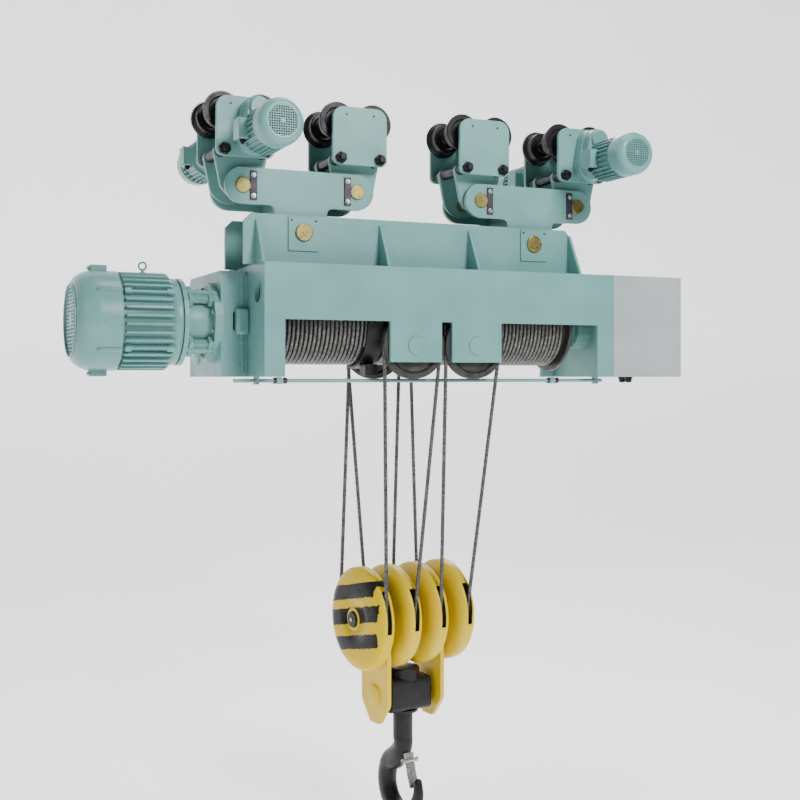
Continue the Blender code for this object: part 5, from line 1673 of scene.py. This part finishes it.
class HOIST_OT_hook(bpy.types.Operator):
    """Forges the hook with its shank, nut and sprung latch"""

    bl_idname = "hoist.hook"
    bl_label = "Hook"

    def execute(self, context):
        self.bar()
        self.shank()
        self.latch()
        return {"FINISHED"}

    def section(self, bm, y, z, tilt, depth, thick, sides=32):
        """A rounded section, fuller on the inside of the bend than outside."""
        ring = []
        for k in range(sides):
            turn = 2 * math.pi * k / sides
            inward = math.cos(turn)
            wide = thick / 2 * (1 - 0.14 * inward)
            out = depth / 2 * inward
            across = wide * math.sin(turn)
            ring.append(
                bm.verts.new(block_spot(across, y + out * math.cos(tilt), z + out * math.sin(tilt)))
            )
        return ring

    def bar(self):
        """The bar as swept sections: (depth place, height, depth, thickness) along its middle line."""
        neck, bowl, bowl_r = 0.66, 0.858, 0.095
        keys = [
            (0.0, -neck + 0.05, 0.094, 0.094),
            (0.002, -neck + 0.01, 0.104, 0.092),
            (0.022, -neck - 0.035, 0.118, 0.09),
            (0.066, -neck - 0.078, 0.118, 0.088),
        ]
        for k in range(13):
            share = k / 12
            turn = math.radians(36 - share * 234)
            depth = 0.108 + 0.006 * math.sin(math.pi * min(share * 1.6, 1))
            depth -= 0.068 * max(share - 0.55, 0) / 0.45
            thick = 0.088 - 0.045 * max(share - 0.5, 0) / 0.5
            radius = bowl_r + depth / 2 + 0.03 * max(share - 0.72, 0) / 0.28
            keys.append((radius * math.cos(turn), -bowl + radius * math.sin(turn), depth, thick))
        per_span = 5
        line = []
        for index in range(len(keys) - 1):
            before = keys[max(index - 1, 0)]
            after = keys[min(index + 2, len(keys) - 1)]
            four = list(zip(before, keys[index], keys[index + 1], after))
            for step in range(per_span):
                line.append([self.smooth(a, b, c, d, step / per_span) for a, b, c, d in four])
        line.append(list(keys[-1]))
        bm = bmesh.new()
        rings = []
        for k, (y, z, depth, thick) in enumerate(line):
            back, ahead = line[max(k - 2, 0)], line[min(k + 2, len(line) - 1)]
            way = Vector((ahead[0] - back[0], ahead[1] - back[1])).normalized()
            rings.append(self.section(bm, y, z, math.atan2(way.x, -way.y), depth, thick))
        tilt = math.atan2(way.x, -way.y)
        for share in (0.35, 0.65, 0.86, 0.97):
            reach = thick * 0.45 * share
            shrink = math.sqrt(1 - share ** 2)
            rings.append(
                self.section(
                    bm, y + way.x * reach, z + way.y * reach, tilt, depth * shrink, thick * shrink,
                )
            )
        skin(bm, rings)
        settle("hook_forging", bm, "hook", FORGING, ("hook",), angle=70)

    def smooth(self, a, b, c, d, t):
        return b + 0.5 * t * (c - a + t * (2 * a - 5 * b + 4 * c - d + t * (3 * (b - c) + d - a)))

    def shank(self):
        seat = -CROSSHEAD_DROP + 0.075 + 0.0003
        profile = [
            (seat, 0), (seat, 0.0495), (-0.6, 0.0495), (-0.62, 0.049), (-0.655, 0.044),
            (-0.655, 0),
        ]
        bm = made(add_turned, profile, block_spot(0, 0, 0), (0, 0, 1), 48)
        settle("hook_shank", bm, "hook", FORGING)
        bm = made(
            add_turned,
            [
                (seat, 0), (seat, 0.0655), (seat + 0.037, 0.0655), (seat + 0.0397, 0.062),
                (seat + 0.0397, 0),
            ],
            block_spot(0, 0, 0), (0, 0, 1), 8,
        )
        settle("hook_nut", bm, "hook", FORGING, edge=0.002)

    def latch(self):
        (y0, z0), (y1, z1) = (-0.064, -0.722), (-0.106, -0.846)
        line = Vector((y1 - y0, z1 - z0)).normalized()
        side = Vector((-line.y, line.x))
        outline = []
        for reach, off in (
            (-0.28, 0.003), (0, 0.006), (0.5, 0.0085), (1, 0.004), (1, -0.001), (0.5, 0.0035),
            (0, 0.001), (-0.28, -0.002),
        ):
            outline.append(
                (y0 + (y1 - y0) * reach + side.x * off, z0 + (z1 - z0) * reach + side.y * off)
            )
        bm = made(add_plate, outline, -0.027, 0.027, "yz", BLOCK)
        settle("hook_latch_strip", bm, "latch", BARE_STEEL, ("hook_latch",), edge=0.0012)
        bm = made(add_turned, rod(-0.03, 0.03, 0.0088), block_spot(0, y0, z0), AXLE, 24)
        settle("hook_latch_pivot", bm, "latch", BARE_STEEL)
        bm = bmesh.new()
        for end in ENDS:
            for k in range(4):
                tube = [
                    (end * (0.034 + 0.0035 * k) + 0.0015 * math.cos(s), 0.0105 + 0.0015 * math.sin(s))
                    for s in (0, 1.05, 2.1, 3.14, 4.2, 5.24)
                ]
                add_turned(bm, tube, block_spot(0, y0, z0), AXLE, 24, True)
        settle("hook_latch_spring", bm, "latch", BARE_STEEL)


# ---------------------------------------------------------------- stage


# Each lamp: name, place, aim, width in metres and power in watts
LAMPS = (
    ("key", (1.2, -6.4, 2.6), (0.1, 0, -1.2), 2.2, 610),
    ("fill", (-5.0, -3.6, 1.6), (0, 0, -1.2), 1.5, 34),
    ("top", (0.3, -0.4, 4.6), (0, 0, -1.0), 3.4, 190),
    ("back", (3.0, 4.2, 2.4), (0, 0, -0.8), 2.4, 110),
)
CAMERA_SPOT = (-2.487, -5.501, -1.1525)
CAMERA_WAY = Vector((0.405, 0.914, 0))
CAMERA_LENS = 54
CAMERA_SHIFT = -0.0289
FLOOR_GAP = 0.06
FLOOR_FRONT = -26.0
FLOOR_BACK = 6.0
FLOOR_CURVE = 3.0
FLOOR_HALF = 22
WALL_TOP = 14.0


class HOIST_OT_stage(bpy.types.Operator):
    """Sets out the pale floor, the soft lights and the camera"""

    bl_idname = "hoist.stage"
    bl_label = "Stage"

    def execute(self, context):
        self.floor()
        for lamp in LAMPS:
            self.light(*lamp)
        self.world()
        self.camera()
        return {"FINISHED"}

    def floor(self):
        low = CAD_BOX[0][2] - FLOOR_GAP
        outline = [(FLOOR_FRONT, low), (FLOOR_BACK, low)]
        for turn in (math.radians(a) for a in range(6, 91, 6)):
            reach = FLOOR_CURVE * math.sin(turn)
            outline.append((FLOOR_BACK + reach, low + FLOOR_CURVE - FLOOR_CURVE * math.cos(turn)))
        outline.append((FLOOR_BACK + FLOOR_CURVE, WALL_TOP))
        bm = bmesh.new()
        near = [bm.verts.new((-FLOOR_HALF, y, z)) for y, z in outline]
        far = [bm.verts.new((FLOOR_HALF, y, z)) for y, z in outline]
        for k in range(len(outline) - 1):
            bm.faces.new([near[k], near[k + 1], far[k + 1], far[k]])
        obj = from_bmesh("studio_floor", bm, 180)
        obj.data.materials.append(self.floor_finish())

    def floor_finish(self):
        material, tree, shader = shader_of("studio_paper")
        shader.inputs["Roughness"].default_value = 0.85
        colour = ramp(
            tree, noise(tree, 0.7, 2.0), [(0.3, (0.86, 0.865, 0.87)), (0.7, (0.90, 0.905, 0.91))],
        )
        tree.links.new(colour, shader.inputs["Base Color"])
        shader.inputs["Emission Color"].default_value = (1, 1, 1, 1)
        shader.inputs["Emission Strength"].default_value = 1.15
        return material

    def light(self, name, spot, aim, size, power):
        lamp = bpy.data.lights.new(f"stage_{name}", "AREA")
        lamp.shape = "DISK"
        lamp.size = size
        lamp.energy = power
        obj = bpy.data.objects.new(f"stage_{name}", lamp)
        obj.location = spot
        obj.rotation_euler = (Vector(aim) - Vector(spot)).to_track_quat("-Z", "Y").to_euler()
        bpy.context.scene.collection.objects.link(obj)

    def world(self):
        world = bpy.data.worlds.new("studio_world")
        world.use_nodes = True
        background = world.node_tree.nodes["Background"]
        background.inputs["Color"].default_value = (0.93, 0.96, 1.0, 1)
        background.inputs["Strength"].default_value = 0.14
        bpy.context.scene.world = world

    def camera(self):
        data = bpy.data.cameras.new("photo_camera")
        data.sensor_width = 36
        data.lens = CAMERA_LENS
        data.shift_y = CAMERA_SHIFT
        data.clip_end = 100
        obj = bpy.data.objects.new("photo_camera", data)
        obj.location = CAMERA_SPOT
        obj.rotation_euler = CAMERA_WAY.to_track_quat("-Z", "Y").to_euler()
        bpy.context.scene.collection.objects.link(obj)
        bpy.context.scene.camera = obj


# ---------------------------------------------------------------- add-on


class HOIST_PT_build(bpy.types.Panel):
    """Lists the hoist's pieces in the order in which they are built"""

    bl_label = "Wire rope hoist"
    bl_idname = "HOIST_PT_build"
    bl_space_type = "VIEW_3D"
    bl_region_type = "UI"
    bl_category = "Hoist"

    def draw(self, context):
        layout = self.layout
        for group in (context.scene.hoist_colours, context.scene.hoist_sizes):
            column = layout.column(align=True)
            for field in group.bl_rna.properties:
                if field.identifier not in ("rna_type", "name"):
                    column.prop(group, field.identifier)
        for operator in BUILD_ORDER:
            layout.operator(operator.bl_idname)


BUILD_ORDER = (
    HOIST_OT_frame,
    HOIST_OT_gear_case,
    HOIST_OT_motor,
    HOIST_OT_drum,
    HOIST_OT_control_box,
    HOIST_OT_bogies,
    HOIST_OT_trolleys,
    HOIST_OT_wheels,
    HOIST_OT_drives,
    HOIST_OT_sheaves,
    HOIST_OT_rope,
    HOIST_OT_block,
    HOIST_OT_hook,
    HOIST_OT_stage,
)
CLASSES = (HoistColours, HoistSizes, *BUILD_ORDER, HOIST_PT_build)


def register():
    for cls in CLASSES:
        bpy.utils.register_class(cls)
    bpy.types.Scene.hoist_colours = PointerProperty(type=HoistColours)
    bpy.types.Scene.hoist_sizes = PointerProperty(type=HoistSizes)


def unregister():
    del bpy.types.Scene.hoist_sizes
    del bpy.types.Scene.hoist_colours
    for cls in reversed(CLASSES):
        bpy.utils.unregister_class(cls)


def main():
    register()
    for operator in BUILD_ORDER:
        group, name = operator.bl_idname.split(".")
        getattr(getattr(bpy.ops, group), name)()


if __name__ == "__main__":
    main()
